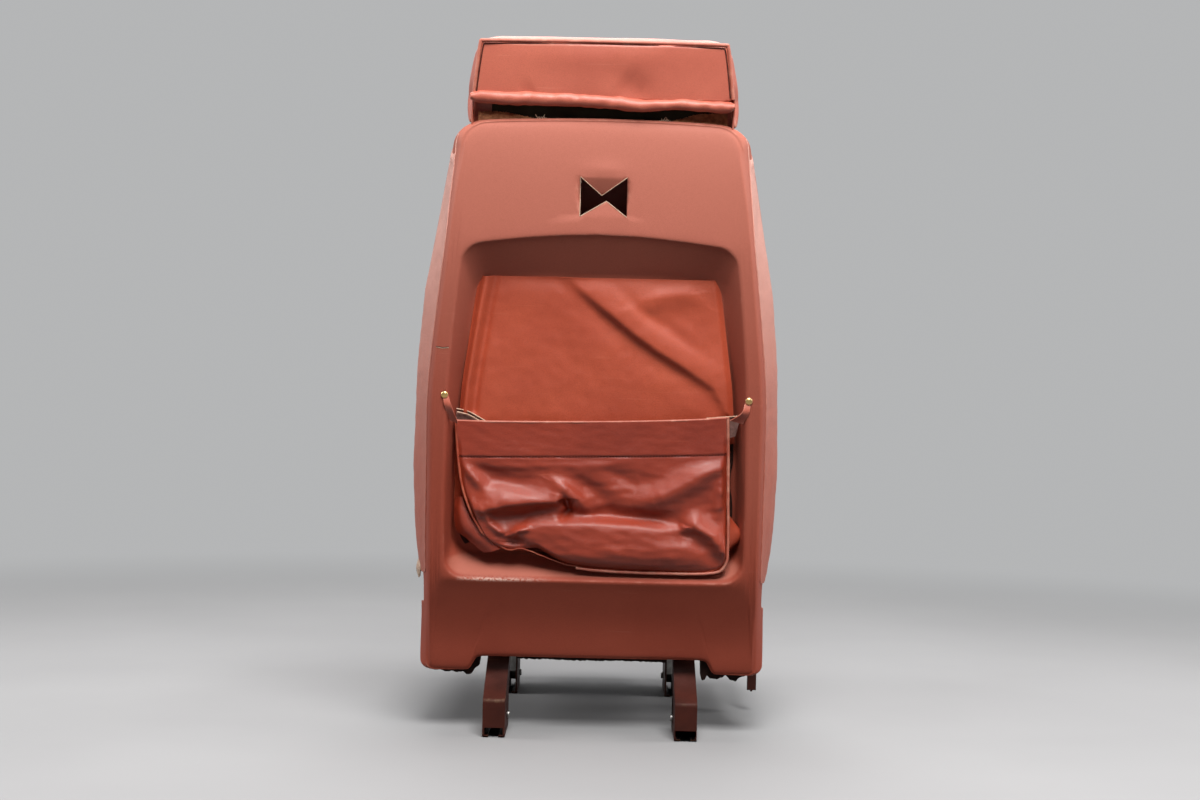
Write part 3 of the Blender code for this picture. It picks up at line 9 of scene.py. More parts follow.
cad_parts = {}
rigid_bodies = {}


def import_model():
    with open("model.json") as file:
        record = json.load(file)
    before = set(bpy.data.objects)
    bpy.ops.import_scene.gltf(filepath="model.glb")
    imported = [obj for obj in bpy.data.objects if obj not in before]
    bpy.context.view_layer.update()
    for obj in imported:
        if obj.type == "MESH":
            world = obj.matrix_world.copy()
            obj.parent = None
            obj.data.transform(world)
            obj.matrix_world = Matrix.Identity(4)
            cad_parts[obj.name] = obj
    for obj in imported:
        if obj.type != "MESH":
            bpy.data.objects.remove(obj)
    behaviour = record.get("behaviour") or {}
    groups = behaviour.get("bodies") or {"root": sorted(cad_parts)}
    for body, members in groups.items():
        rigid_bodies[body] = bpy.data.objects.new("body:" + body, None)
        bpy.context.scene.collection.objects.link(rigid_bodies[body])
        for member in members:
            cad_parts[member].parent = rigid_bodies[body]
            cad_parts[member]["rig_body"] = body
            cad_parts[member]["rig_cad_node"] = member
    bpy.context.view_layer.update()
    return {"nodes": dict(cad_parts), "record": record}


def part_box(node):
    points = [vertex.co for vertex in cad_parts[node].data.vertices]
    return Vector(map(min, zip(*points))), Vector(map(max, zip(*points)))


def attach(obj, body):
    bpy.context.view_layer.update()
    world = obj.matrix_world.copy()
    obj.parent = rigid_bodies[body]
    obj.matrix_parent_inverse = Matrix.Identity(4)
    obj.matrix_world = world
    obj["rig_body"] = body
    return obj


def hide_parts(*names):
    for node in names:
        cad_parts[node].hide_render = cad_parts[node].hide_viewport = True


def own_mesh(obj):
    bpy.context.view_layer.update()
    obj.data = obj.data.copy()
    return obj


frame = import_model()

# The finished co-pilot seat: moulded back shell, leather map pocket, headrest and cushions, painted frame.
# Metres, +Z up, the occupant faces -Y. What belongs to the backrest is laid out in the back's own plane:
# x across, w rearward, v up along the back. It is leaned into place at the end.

LEAN = math.radians(11)
HINGE = Vector((0.0, 0.15, 0.198))
BACK = Matrix.Translation(HINGE) @ Matrix.Rotation(-LEAN, 4, "X")
UPRIGHT = Matrix.Identity(4)


# Handling pieces


def free():
    """Leaves edit mode and lets go of everything."""
    if bpy.context.object and bpy.context.object.mode != "OBJECT":
        bpy.ops.object.mode_set(mode="OBJECT")
    bpy.ops.object.select_all(action="DESELECT")


def hold(*pieces):
    """Selects these pieces only; the last is the active one."""
    free()
    for piece in pieces:
        piece.select_set(True)
    bpy.context.view_layer.objects.active = pieces[-1]
    return pieces[-1]


def called(name):
    made = bpy.context.object
    made.name = name
    made.data.name = name
    return made


def apply_all(piece):
    hold(piece)
    for modifier in list(piece.modifiers):
        bpy.ops.object.modifier_apply(modifier=modifier.name)
    return piece


def settle(piece, place=UPRIGHT):
    """Moves a piece by a matrix and puts its place into its mesh."""
    piece.matrix_world = place @ piece.matrix_world
    hold(piece)
    bpy.ops.object.transform_apply(location=True, rotation=True, scale=True)
    return piece


def smooth(piece, angle=70):
    hold(piece)
    bpy.ops.object.shade_smooth_by_angle(angle=math.radians(angle))
    return piece


def stacked(*columns):
    return np.stack(columns, axis=1)


def leave_edit():
    bpy.ops.object.mode_set(mode="OBJECT")


def edit_all(piece):
    """Goes to edit mode with the whole of a piece selected."""
    hold(piece)
    bpy.ops.object.mode_set(mode="EDIT")
    bpy.ops.mesh.select_all(action="SELECT")


def points_of(piece):
    flat = np.empty(len(piece.data.vertices) * 3)
    piece.data.vertices.foreach_get("co", flat)
    return flat.reshape(-1, 3)


def put_points(piece, points):
    piece.data.vertices.foreach_set("co", np.ascontiguousarray(points).ravel())
    piece.data.update()
    return piece


def pick_faces(piece, wanted):
    """Selects faces by a test and goes to edit mode."""
    hold(piece)
    for face in piece.data.polygons:
        face.select = wanted(face)
    for edge in piece.data.edges:
        edge.select = False
    for vertex in piece.data.vertices:
        vertex.select = False
    for face in piece.data.polygons:
        if face.select:
            for index in face.vertices:
                piece.data.vertices[index].select = True
    bpy.ops.object.mode_set(mode="EDIT")
    bpy.ops.mesh.select_mode(type="FACE")


def mark_edges(piece, radius):
    """Writes how tightly each point of the surface bulges outwards, 1 at a radius or sharper."""
    mesh = piece.data
    points = points_of(piece)
    normals = np.empty(len(mesh.vertices) * 3)
    mesh.vertices.foreach_get("normal", normals)
    normals = normals.reshape(-1, 3)
    ends = np.empty(len(mesh.edges) * 2, dtype=np.int32)
    mesh.edges.foreach_get("vertices", ends)
    first, second = ends.reshape(-1, 2).T
    line = points[second] - points[first]
    span = np.maximum((line * line).sum(1), 1e-9)
    total = np.zeros(len(points))
    count = np.zeros(len(points))
    for near, sign in ((first, -2.0), (second, 2.0)):
        np.add.at(total, near, sign * (line * normals[near]).sum(1) / span)
        np.add.at(count, near, 1.0)
    bulge = total / np.maximum(count, 1.0)
    for _ in range(2):
        total = bulge.copy()
        count = np.ones(len(points))
        np.add.at(total, first, bulge[second])
        np.add.at(total, second, bulge[first])
        np.add.at(count, first, 1.0)
        np.add.at(count, second, 1.0)
        bulge = total / count
    write_mask(piece, "edge", np.clip(bulge * radius, 0.0, 1.0))
    return piece


def write_mask(piece, name, values):
    layer = piece.data.attributes.get(name) or piece.data.attributes.new(name, "FLOAT", "POINT")
    layer.data.foreach_set("value", np.asarray(values, dtype=np.float32))


def fix(piece, body, finish, node=None, radius=0.005):
    """Gives a finished piece its material and its body."""
    piece.data.materials.clear()
    piece.data.materials.append(finish)
    mark_edges(piece, radius)
    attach(piece, body)
    if node:
        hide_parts(node)
    return piece


def sew(piece, finish, radius=0.005, node=None, body="backrest"):
    """The same for leather and what is sewn to it."""
    return fix(piece, body, finish, node, radius)


def copy_of(node, name, whole=False):
    """A copy of a CAD node with its loose triangles merged, into quads or into whole flat faces."""
    hold(frame["nodes"][node])
    bpy.ops.object.duplicate()
    made = called(name)
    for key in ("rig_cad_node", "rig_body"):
        if key in made:
            del made[key]
    made.parent = None
    made.matrix_world = UPRIGHT
    edit_all(made)
    bpy.ops.mesh.remove_doubles(threshold=1e-5)
    if whole:
        bpy.ops.mesh.dissolve_limited(angle_limit=math.radians(1.5))
    else:
        bpy.ops.mesh.tris_convert_to_quads(face_threshold=math.radians(25),
            shape_threshold=math.radians(60))
    leave_edit()
    return made


# Lines, rods and stitches


def smooth_line(corners, count):
    """Points on a smooth curve through corners, evenly spaced along it."""
    knots = [Vector(corner) for corner in corners]
    padded = [2 * knots[0] - knots[1], *knots, 2 * knots[-1] - knots[-2]]
    dense = []
    for i in range(1, len(padded) - 2):
        p0, p1, p2, p3 = padded[i - 1:i + 3]
        for step in range(16):
            t = step / 16
            dense.append(
                0.5 * (2 * p1 + (p2 - p0) * t + (2 * p0 - 5 * p1 + 4 * p2 - p3) * t * t
                       + (3 * p1 - p0 - 3 * p2 + p3) * t ** 3)
            )
    dense.append(knots[-1])
    return even(dense, count)


def even(line, count):
    """The same line as evenly spaced points."""
    line = np.array([tuple(point) for point in line])
    steps = np.r_[0.0, np.cumsum(np.linalg.norm(np.diff(line, axis=0), axis=1))]
    places = np.linspace(0.0, steps[-1], count)
    return np.stack([np.interp(places, steps, line[:, k]) for k in range(line.shape[1])], axis=1)


def rod(name, runs, radius, place=UPRIGHT, rings=3):
    """Round cord along one or more runs of points, made a mesh."""
    curve = bpy.data.curves.new(name, "CURVE")
    curve.dimensions = "3D"
    curve.bevel_depth = radius
    curve.bevel_resolution = rings
    curve.use_fill_caps = True
    for run in runs:
        spline = curve.splines.new("POLY")
        spline.points.add(len(run) - 1)
        for i, point in enumerate(run):
            spline.points[i].co = (*point, 1.0)
    made = bpy.data.objects.new(name, curve)
    bpy.context.scene.collection.objects.link(made)
    hold(made)
    bpy.ops.object.convert(target="MESH")
    made = called(name)
    edit_all(made)
    bpy.ops.mesh.remove_doubles(threshold=1e-6)
    bpy.ops.mesh.normals_make_consistent(inside=False)
    leave_edit()
    settle(made, place)
    return smooth(made, 60)


def stitches(name, line, outward, place, pitch, thread):
    """A row of short thread stitches that dip into the leather at both ends."""
    dip = 0.0003
    line = np.array([tuple(point) for point in line])
    length = np.linalg.norm(np.diff(line, axis=0), axis=1).sum()
    count = max(int(length / pitch), 2)
    spots = even(line, count * 2 + 1)
    up = np.array(outward)
    runs = []
    for i in range(count):
        start, end = spots[2 * i], spots[2 * i + 1] + 0.35 * (spots[2 * i + 2] - spots[2 * i + 1])
        middle = (start + end) / 2
        runs.append([start - up * dip, middle + up * thread * 1.2, end - up * dip])
    return rod(name, runs, thread, place, rings=1)


def ridge(x, v, path, height, below, above=None, ends=(0.3, 0.3)):
    """A fold along a path over points (x, v), drawn from +x to -x, with its width below and above it."""
    above = above or below
    path = np.array(path, dtype=float)
    steps = np.r_[0.0, np.cumsum(np.linalg.norm(np.diff(path, axis=0), axis=1))]
    best = np.zeros_like(x)
    for i in range(len(path) - 1):
        start, line = path[i], path[i + 1] - path[i]
        span = line @ line
        t = np.clip(((x - start[0]) * line[0] + (v - start[1]) * line[1]) / span, 0.0, 1.0)
        dx, dv = x - start[0] - t * line[0], v - start[1] - t * line[1]
        side = line[0] * dv - line[1] * dx
        reach = np.where(side > 0, below, above)
        along = (steps[i] + t * math.sqrt(span)) / steps[-1]
        strength = np.interp(along, [0.0, 0.3, 0.7, 1.0], [ends[0], 1.0, 1.0, ends[1]])
        best = np.maximum(best, strength * np.exp(-(dx * dx + dv * dv) / reach ** 2))
    return height * best


def rumple(points, size, seed=0.0):
    """Smooth noise between -1 and 1 at each point, of about a size."""
    shift = Vector((seed, seed * 0.37, seed * 1.71))
    return np.array([noise.noise(Vector(point) / size + shift) for point in points])


def ease(value, low, high):
    """0 below low, 1 above high, smooth between."""
    t = np.clip((value - low) / (high - low), 0.0, 1.0)
    return t * t * (3 - 2 * t)


def sheet_grid(name, across, up):
    """A flat square grid of faces whose own coordinates run from 0 to 1."""
    free()
    bpy.ops.mesh.primitive_grid_add(x_subdivisions=across, y_subdivisions=up, size=1.0,
                                    location=(0.5, 0.5, 0.0))
    made = called(name)
    return settle(made)


def loft(name, lines, along, across, thickness, place=BACK, flip=False, ripple=0.0, seed=0.0):
    """A thin sheet through lines of points, smooth along and across them."""
    runs = np.array([smooth_line(line, along + 1) for line in lines])
    grid = np.array([smooth_line(runs[:, i], across + 1) for i in range(along + 1)])
    made = sheet_grid(name, along, across)
    s, t, _ = points_of(made).T
    points = grid[np.rint(s * along).astype(int), np.rint(t * across).astype(int)]
    if ripple:
        points = points + ripple * np.stack([rumple(points, 0.012, seed + k) for k in range(3)], axis=1)
    put_points(made, points)
    if flip:
        turn_faces(made)
    thicken(made, thickness)
    settle(made, place)
    return smooth(made)


def thicken(piece, thickness):
    """Gives a sheet its wall, behind its faces."""
    wall = piece.modifiers.new("wall", "SOLIDIFY")
    wall.thickness = thickness
    wall.offset = -1.0
    return apply_all(piece)


def turn_faces(piece):
    edit_all(piece)
    bpy.ops.mesh.flip_normals()
    leave_edit()
    return piece


def lay(piece, x, w, v, thickness, turned=False, angle=70):
    """Makes a grid a sheet of the backrest, from its points in the back's plane."""
    put_points(piece, stacked(x, w, v))
    if turned:
        turn_faces(piece)
    thicken(piece, thickness)
    settle(piece, BACK)
    return smooth(piece, angle)


# Pads


def pad_block(name, boxes, voxel):
    """Boxes given by their low and high corners, fused into one even skin."""
    parts = []
    for low, high in boxes:
        low, high = Vector(low), Vector(high)
        free()
        bpy.ops.mesh.primitive_cube_add(size=1.0, location=(low + high) / 2, scale=high - low)
        parts.append(settle(bpy.context.object))
    hold(*parts)
    if len(parts) > 1:
        bpy.ops.object.join()
    made = called(name)
    fuse = made.modifiers.new("fuse", "REMESH")
    fuse.mode = "VOXEL"
    fuse.voxel_size = voxel
    apply_all(made)
    soft = made.modifiers.new("soft", "SMOOTH")
    soft.factor = 0.5
    soft.iterations = 4
    return apply_all(made)


PRESSURE = 4.0
FIRMNESS = 15.0
CLOTH_STEPS = 20


def fill_pad(piece, reach):
    """Swells a pad by a short cloth run. reach gives how far each point may move."""
    start = points_of(piece)
    limit = reach(start)
    cloth = piece.modifiers.new("fill", "CLOTH")
    cloth.settings.use_pressure = True
    cloth.settings.uniform_pressure_force = PRESSURE
    cloth.settings.effector_weights.gravity = 0.0
    cloth.settings.tension_stiffness = FIRMNESS
    cloth.settings.compression_stiffness = FIRMNESS
    cloth.settings.bending_stiffness = 0.5
    cloth.settings.quality = 4
    cloth.point_cache.frame_start = 1
    cloth.point_cache.frame_end = CLOTH_STEPS
    scene = bpy.context.scene
    for step in range(1, CLOTH_STEPS + 1):
        scene.frame_set(step)
    apply_all(piece)
    scene.frame_set(1)
    move = points_of(piece) - start
    far = np.linalg.norm(move, axis=1)
    share = np.minimum(1.0, limit / np.maximum(far, 1e-9))
    return put_points(piece, start + move * share[:, None])


def round_off(piece, levels=1):
    finer = piece.modifiers.new("finer", "SUBSURF")
    finer.levels = levels
    finer.render_levels = levels
    return apply_all(piece)


DROP_FROM = 0.08
DROP_REACH = 0.2


def surface_line(piece, line, outward, lift=0.0):
    """A line of points dropped onto a piece from outside, along -outward."""
    tree = BVHTree.FromObject(piece, bpy.context.evaluated_depsgraph_get())
    up = Vector(outward).normalized()
    landed = []
    for point in line:
        start = Vector(point) + up * DROP_FROM
        hit = tree.ray_cast(start, -up, DROP_REACH)[0]
        landed.append((hit if hit else Vector(point)) + up * lift)
    return landed


# Shader groups


def feed(node, ins):
    """Sets a node's inputs, and wires those whose value is another node's socket."""
    for key, value in ins.items():
        if isinstance(value, bpy.types.NodeSocket):
            node.id_data.links.new(value, node.inputs[key])
        else:
            node.inputs[key].default_value = value


def wiring(tree):
    """A short way to add a shader node, set it and wire its inputs."""

    def add(kind, ins=None, **sets):
        made = tree.nodes.new("ShaderNode" + kind)
        for key, value in sets.items():
            setattr(made, key, value)
        feed(made, ins or {})
        return made

    return add


def calc(add, operation, first, second):
    return add("Math", {0: first, 1: second}, operation=operation).outputs[0]


def spread(add, value, low, high, to_low=0.0, to_high=1.0, soft=False):
    """A value stretched from one range to another, evenly or with soft ends."""
    ins = {"Value": value, "From Min": low, "From Max": high, "To Min": to_low, "To Max": to_high}
    return add("MapRange", ins, interpolation_type="SMOOTHSTEP" if soft else "LINEAR").outputs[0]


def clouds_of(add, place, scale, detail):
    """Noise with so many clouds to the metre."""
    return add("TexNoise", {"Vector": place, "Scale": scale, "Detail": detail}).outputs["Fac"]


def mixed(add, factor, first, second):
    return add("Mix", {0: factor, 6: first, 7: second}, data_type="RGBA").outputs[2]


def rgba(colour):
    return (*colour, 1.0)


def new_group(name, ins, outs):
    tree = bpy.data.node_groups.new(name, "ShaderNodeTree")
    for label, value in ins.items():
        socket = tree.interface.new_socket(name=label, in_out="INPUT", socket_type="NodeSocketFloat")
        socket.default_value = value
    for label in outs:
        tree.interface.new_socket(name=label, in_out="OUTPUT", socket_type="NodeSocketFloat")
    source = tree.nodes.new("NodeGroupInput")
    sink = tree.nodes.new("NodeGroupOutput")
    return tree, wiring(tree), source.outputs, sink


def grain_group():
    """Pebbled hide or moulded grain: its height, and the dark of its valleys."""
    settings = {"Cells per metre": 800.0, "Creases": 0.5}
    tree, add, ins, sink = new_group("hide_grain", settings, ("Height", "Valleys"))
    place = add("TexCoord").outputs["Object"]
    warp = add("TexNoise", {"Vector": place, "Scale": 90.0, "Detail": 2.0}).outputs["Color"]
    nudge = add("VectorMath", {0: warp, 1: (0.004, 0.004, 0.004)}, operation="MULTIPLY").outputs[0]
    moved = add("VectorMath", {0: place, 1: nudge}, operation="ADD").outputs[0]

    def from_edge(scale):
        return add("TexVoronoi", {"Vector": moved, "Scale": scale},
                   feature="DISTANCE_TO_EDGE").outputs["Distance"]

    pebble = spread(add, from_edge(ins["Cells per metre"]), 0.0, 0.28, soft=True)
    crease = spread(add, from_edge(130.0), 0.0, 0.05, soft=True)
    where = spread(add, clouds_of(add, place, 14.0, 3.0), 0.5, 0.68)
    cut = calc(add, "MULTIPLY", calc(add, "SUBTRACT", 1.0, crease), where)
    cut = calc(add, "MULTIPLY", cut, ins["Creases"])
    feed(sink, {"Height": calc(add, "SUBTRACT", pebble, cut),
                "Valleys": calc(add, "SUBTRACT", 1.0, pebble)})
    return tree


def wear_group():
    """Where edges are rubbed: the surface's own bulge, broken up by noise."""
    tree, add, ins, sink = new_group("edge_wear", {"Amount": 0.5, "Breakup": 60.0}, ("Mask",))
    place = add("TexCoord").outputs["Object"]
    bulge = add("Attribute", attribute_name="edge").outputs["Fac"]
    patches = spread(add, clouds_of(add, place, ins["Breakup"], 5.0), 0.35, 0.7, 0.15)
    worn = calc(add, "MULTIPLY", calc(add, "MULTIPLY", bulge, patches), ins["Amount"])
    feed(sink, {"Mask": spread(add, worn, 0.06, 0.45, soft=True)})
    return tree


def scuff_group():
    """Faint rubbed streaks and clouds."""
    settings = {"Cloud size": 0.12, "Streaks": 0.5}
    tree, add, ins, sink = new_group("scuffs", settings, ("Clouds", "Streaks"))
    place = add("TexCoord").outputs["Object"]
    fine = calc(add, "DIVIDE", 1.0, ins["Cloud size"])
    clouds = add("TexNoise", {"Vector": place, "Scale": fine, "Detail": 4.0,
                              "Roughness": 0.55}).outputs["Fac"]
    drawn = {"Vector": place, "Rotation": (0.3, 0.5, 0.7), "Scale": (9.0, 60.0, 240.0)}
    lines = clouds_of(add, add("Mapping", drawn).outputs[0], 1.0, 3.0)
    thin = calc(add, "MULTIPLY", spread(add, lines, 0.66, 0.74), ins["Streaks"])
    feed(sink, {"Clouds": spread(add, clouds, 0.3, 0.7), "Streaks": thin})
    return tree


GRAIN = grain_group()
WEAR = wear_group()
SCUFF = scuff_group()

# What the marks and valleys do to a finish
VALLEY_DARK = 0.45
VALLEY_SHARE = 0.35
FLAKE_COLOUR = (0.62, 0.4, 0.33, 1.0)


def new_finish(name):
    """An empty material with its shader, ready to wire."""
    made = bpy.data.materials.new(name)
    made.use_nodes = True
    shader = made.node_tree.nodes["Principled BSDF"]
    return made, wiring(made.node_tree), shader


def hide(name, colour, deep, worn, cells=800.0, bump=0.25, wear=0.6, rough=(0.36, 0.5), creases=0.5,
         coat=0.08, clouds=0.12, streaks=0.4, marked=False, lit_colour=None, gloss=0.5):
    """Leather or grained plastic: grain, cloudy tone, rubbed edges and faint streaks, and, with a lit
    colour given, painted light.
    """
    made, add, shader = new_finish(name)
    grain = add("Group", {"Cells per metre": cells, "Creases": creases}, node_tree=GRAIN)
    edges = add("Group", {"Amount": wear, "Breakup": 70.0}, node_tree=WEAR).outputs["Mask"]
    marks = add("Group", {"Cloud size": clouds, "Streaks": streaks}, node_tree=SCUFF).outputs
    tone = mixed(add, marks["Clouds"], rgba(deep), rgba(colour))
    dark = calc(add, "MULTIPLY", grain.outputs["Valleys"], VALLEY_SHARE)
    valley = rgba([c * VALLEY_DARK for c in deep])
    tone = mixed(add, dark, tone, valley)
    tone = mixed(add, marks["Streaks"], tone, rgba([0.5 * (a + b) for a, b in zip(colour, worn)]))
    place = add("TexCoord").outputs["Object"]
    # Painted light: the surface grows paler towards the top and where the mesh marks it, as where the light
    # falls.
    if lit_colour:
        height = add("SeparateXYZ", {0: place}).outputs["Z"]
        pale = add("Attribute", attribute_name="painted_light").outputs["Fac"]
        pale = calc(add, "MAXIMUM", pale, spread(add, height, 0.3, 0.84, soft=True))
        tone = mixed(add, dark, mixed(add, pale, tone, rgba(lit_colour)), valley)
    tone = mixed(add, edges, tone, rgba(worn))
    if marked:
        flakes = spread(add, clouds_of(add, place, 420.0, 3.0), 0.4, 0.52)
        scuff = calc(add, "MULTIPLY", add("Attribute", attribute_name="scuff").outputs["Fac"], flakes)
        tone = mixed(add, scuff, tone, FLAKE_COLOUR)
    shine = spread(add, marks["Clouds"], 0.0, 1.0, rough[1], rough[0])
    shine = calc(add, "ADD", shine, calc(add, "MULTIPLY", edges, 0.12))
    relief = add("Bump", {"Height": grain.outputs["Height"], "Strength": bump, "Distance": 0.0004})
    feed(shader, {"Base Color": tone, "Roughness": shine, "Normal": relief.outputs[0],
                  "Specular IOR Level": gloss, "Coat Weight": coat, "Coat Roughness": 0.25})
    return made


def metal(name, colour, under, metallic=0.0, rough=0.5, under_metal=0.9, wear=0.8, gloss=0.5):
    """Painted or plated metal, rubbed through to what lies under its coat at the edges."""
    made, add, shader = new_finish(name)
    edges = add("Group", {"Amount": wear, "Breakup": 140.0}, node_tree=WEAR).outputs["Mask"]
    marks = add("Group", {"Cloud size": 0.03, "Streaks": 0.5}, node_tree=SCUFF).outputs
    tone = mixed(add, marks["Clouds"], rgba([c * 0.6 for c in colour]), rgba(colour))
    tone = mixed(add, marks["Streaks"], tone, rgba([0.6 * a + 0.4 * b for a, b in zip(colour, under)]))
    tone = mixed(add, edges, tone, rgba(under))
    shine = spread(add, marks["Clouds"], 0.0, 1.0, rough + 0.12, rough - 0.08)
    bare = spread(add, edges, 0.0, 1.0, metallic, under_metal)
    peel = clouds_of(add, add("TexCoord").outputs["Object"], 900.0, 2.0)
    relief = add("Bump", {"Height": peel, "Strength": 0.15, "Distance": 0.0003})
    feed(shader, {"Base Color": tone, "Roughness": shine, "Metallic": bare, "Normal": relief.outputs[0],
                  "Specular IOR Level": gloss})
    return made


def fuzz(name, colour, deep, sheen=0.3):
    """Felted or napped cloth."""
    made, add, shader = new_finish(name)
    place = add("TexCoord").outputs["Object"]
    tone = spread(add, clouds_of(add, place, 160.0, 2.0), 0.35, 0.65)
    nap = clouds_of(add, place, 1400.0, 3.0)
    relief = add("Bump", {"Height": nap, "Strength": 0.8, "Distance": 0.0012})
    feed(shader, {"Base Color": mixed(add, tone, rgba(deep), rgba(colour)), "Normal": relief.outputs[0],
                  "Roughness": 0.9, "Sheen Weight": sheen, "Specular IOR Level": 0.2})
    return made


# The shell's lit colour paints light: its upper part, ledge and right side are paler.
SHELL = hide(
    "moulded_shell", (0.42, 0.082, 0.045), (0.35, 0.062, 0.033), (0.62, 0.27, 0.2), cells=1500.0, bump=0.12,
    wear=0.28, rough=(0.6, 0.72), creases=0.0, coat=0.0, clouds=0.2, streaks=0.2, marked=True,
    lit_colour=(0.48, 0.15, 0.102), gloss=0.3,
)
LEATHER = hide("red_leather", (0.44, 0.068, 0.029), (0.34, 0.046, 0.018), (0.56, 0.17, 0.095),
               rough=(0.4, 0.5), wear=0.35)
# The bolsters' lit colour paints light on their upper part.
BOLSTER = hide(
    "bolster_leather", (0.56, 0.15, 0.095), (0.5, 0.125, 0.078), (0.7, 0.34, 0.26), rough=(0.5, 0.62),
    gloss=0.4, wear=0.2, streaks=0.2, lit_colour=(0.78, 0.42, 0.35),
)
LINING_LEATHER = hide(
    "lining_leather", (0.56, 0.095, 0.04), (0.46, 0.068, 0.028), (0.6, 0.2, 0.12), rough=(0.42, 0.52),
    gloss=0.45, streaks=0.2, bump=0.35, wear=0.1,
)
POCKET_LEATHER = hide(
    "pocket_leather", (0.39, 0.047, 0.017), (0.28, 0.03, 0.011), (0.5, 0.13, 0.07), rough=(0.34, 0.44),
    wear=0.2, gloss=0.5, bump=0.35,
)
HEAD_LEATHER = hide(
    "headrest_leather", (0.6, 0.15, 0.092), (0.5, 0.11, 0.066), (0.72, 0.34, 0.24), rough=(0.4, 0.5),
    cells=900.0, bump=0.2, wear=0.3, gloss=0.5,
)
PIPING = hide(
    "worn_piping", (0.54, 0.15, 0.098), (0.46, 0.115, 0.07), (0.68, 0.32, 0.23), wear=0.3,
    rough=(0.42, 0.55), cells=1400.0,
)
RAW_EDGE = fuzz("raw_hide_edge", (0.7, 0.5, 0.36), (0.52, 0.32, 0.22))
SUEDE = fuzz("hide_back", (0.24, 0.12, 0.1), (0.16, 0.075, 0.06))
TAPE = fuzz("hook_tape", (0.52, 0.22, 0.1), (0.3, 0.11, 0.05))
# A near-black cloth that paints the shade behind and below the pocket.
SHADE_SHEET = fuzz("painted_shade_sheet", (0.05, 0.02, 0.014), (0.026, 0.01, 0.008), sheen=0.0)
# Nearly black cloth: the torn lining, which across the arch paints the shade inside the shell; also the
# crack's dark line.
TORN_AND_SHADE = fuzz("torn_lining_and_shade", (0.03, 0.012, 0.009), (0.014, 0.006, 0.005), sheen=0.0)
PAINT = metal(
    "brown_paint", (0.06, 0.014, 0.009), (0.15, 0.09, 0.05), rough=0.55, under_metal=0.2, wear=0.3,
    gloss=0.14,
)
LEVER_PAINT = metal("lever_paint", (0.075, 0.018, 0.011), (0.1, 0.03, 0.018), rough=0.55, wear=0.1,
                    gloss=0.2)
# Khaki darkened to paint the shade that the headrest's lip casts on its plate.
SHADED_KHAKI = metal("shaded_khaki", (0.04, 0.034, 0.02), (0.09, 0.08, 0.055), rough=0.8, under_metal=0.0,
              wear=0.2, gloss=0.15)
KHAKI = metal("khaki_primer", (0.19, 0.165, 0.09), (0.34, 0.31, 0.24), rough=0.68, under_metal=0.2,
              wear=0.3)
STEEL = metal("zinc_plate", (0.46, 0.45, 0.43), (0.3, 0.29, 0.27), metallic=1.0, rough=0.38,
              under_metal=1.0, wear=0.5)
BRASS = metal("tarnished_brass", (0.6, 0.4, 0.15), (0.8, 0.62, 0.34), metallic=1.0, rough=0.32,
              under_metal=1.0)
NYLON = metal("cream_nylon", (0.62, 0.58, 0.46), (0.4, 0.37, 0.3), rough=0.5, under_metal=0.0, wear=0.4)
GRIP = hide(
    "black_grip", (0.03, 0.026, 0.024), (0.018, 0.016, 0.015), (0.1, 0.09, 0.085), cells=1100.0, bump=0.4,
    rough=(0.45, 0.6), creases=0.0, coat=0.0,
)
THREAD = fuzz("dark_thread", (0.1, 0.022, 0.014), (0.055, 0.012, 0.009), sheen=0.0)


# Camera, light and floor

CAMERA_PLACE = (-0.0044, 2.65, 0.4685)
CAMERA_ROLL = math.radians(-1.27)
LENS = 52.8
PALE_WALL = (0.46, 0.465, 0.47, 1.0)

# Lamps: place, aim, size, power, colour
LAMPS = (
    ((-0.25, 1.8, 2.42), (0.0, 0.22, 0.5), 1.3, 108.0, (1.0, 0.99, 0.975)),
    ((0.0, -0.4, 2.7), (0.0, 0.1, 0.5), 1.6, 44.0, (1.0, 0.99, 0.98)),
    ((2.2, 0.15, 1.5), (0.2, 0.15, 0.5), 1.1, 32.0, (1.0, 0.98, 0.97)),
    ((-2.2, 0.15, 1.5), (-0.2, 0.15, 0.5), 1.1, 34.0, (1.0, 0.98, 0.97)),
    ((0.0, -2.2, 2.3), (0.0, 0.0, 0.4), 1.8, 30.0, (1.0, 1.0, 1.0)),
)


def camera():
    bpy.ops.object.camera_add(location=CAMERA_PLACE, rotation=(math.pi / 2, CAMERA_ROLL, math.pi))
    eye = bpy.context.object
    eye.data.lens = LENS
    eye.data.sensor_width = 36.0
    bpy.context.scene.camera = eye


def lights():
    for place, aim, size, power, colour in LAMPS:
        free()
        bpy.ops.object.light_add(type="AREA", location=place)
        lamp = bpy.context.object
        lamp.data.energy = power
        lamp.data.size = size
        lamp.data.color = colour
        lamp.rotation_euler = (Vector(place) - Vector(aim)).to_track_quat("Z", "Y").to_euler()


def looked_at(add):
    """1 where the camera looks, also through glass and in gloss, and 0 for the light that falls."""
    ray = add("LightPath").outputs
    seen = calc(add, "MAXIMUM", ray["Is Camera Ray"], ray["Is Transmission Ray"])
    return calc(add, "MAXIMUM", seen, ray["Is Glossy Ray"])


def backdrop():
    """A pale wall to the camera, and faint light from all round to the seat."""
    world = bpy.data.worlds.new("studio")
    bpy.context.scene.world = world
    world.use_nodes = True
    add = wiring(world.node_tree)
    seen = looked_at(add)
    light = world.node_tree.nodes["Background"]
    feed(light, {"Color": (0.95, 0.97, 1.0, 1.0), "Strength": 0.07})
    pale = add("Background", {"Color": PALE_WALL, "Strength": 1.0})
    either = add("MixShader", {0: seen, 1: light.outputs[0], 2: pale.outputs[0]})
    feed(world.node_tree.nodes["World Output"], {"Surface": either.outputs[0]})
    bpy.context.scene.view_settings.view_transform = "Standard"


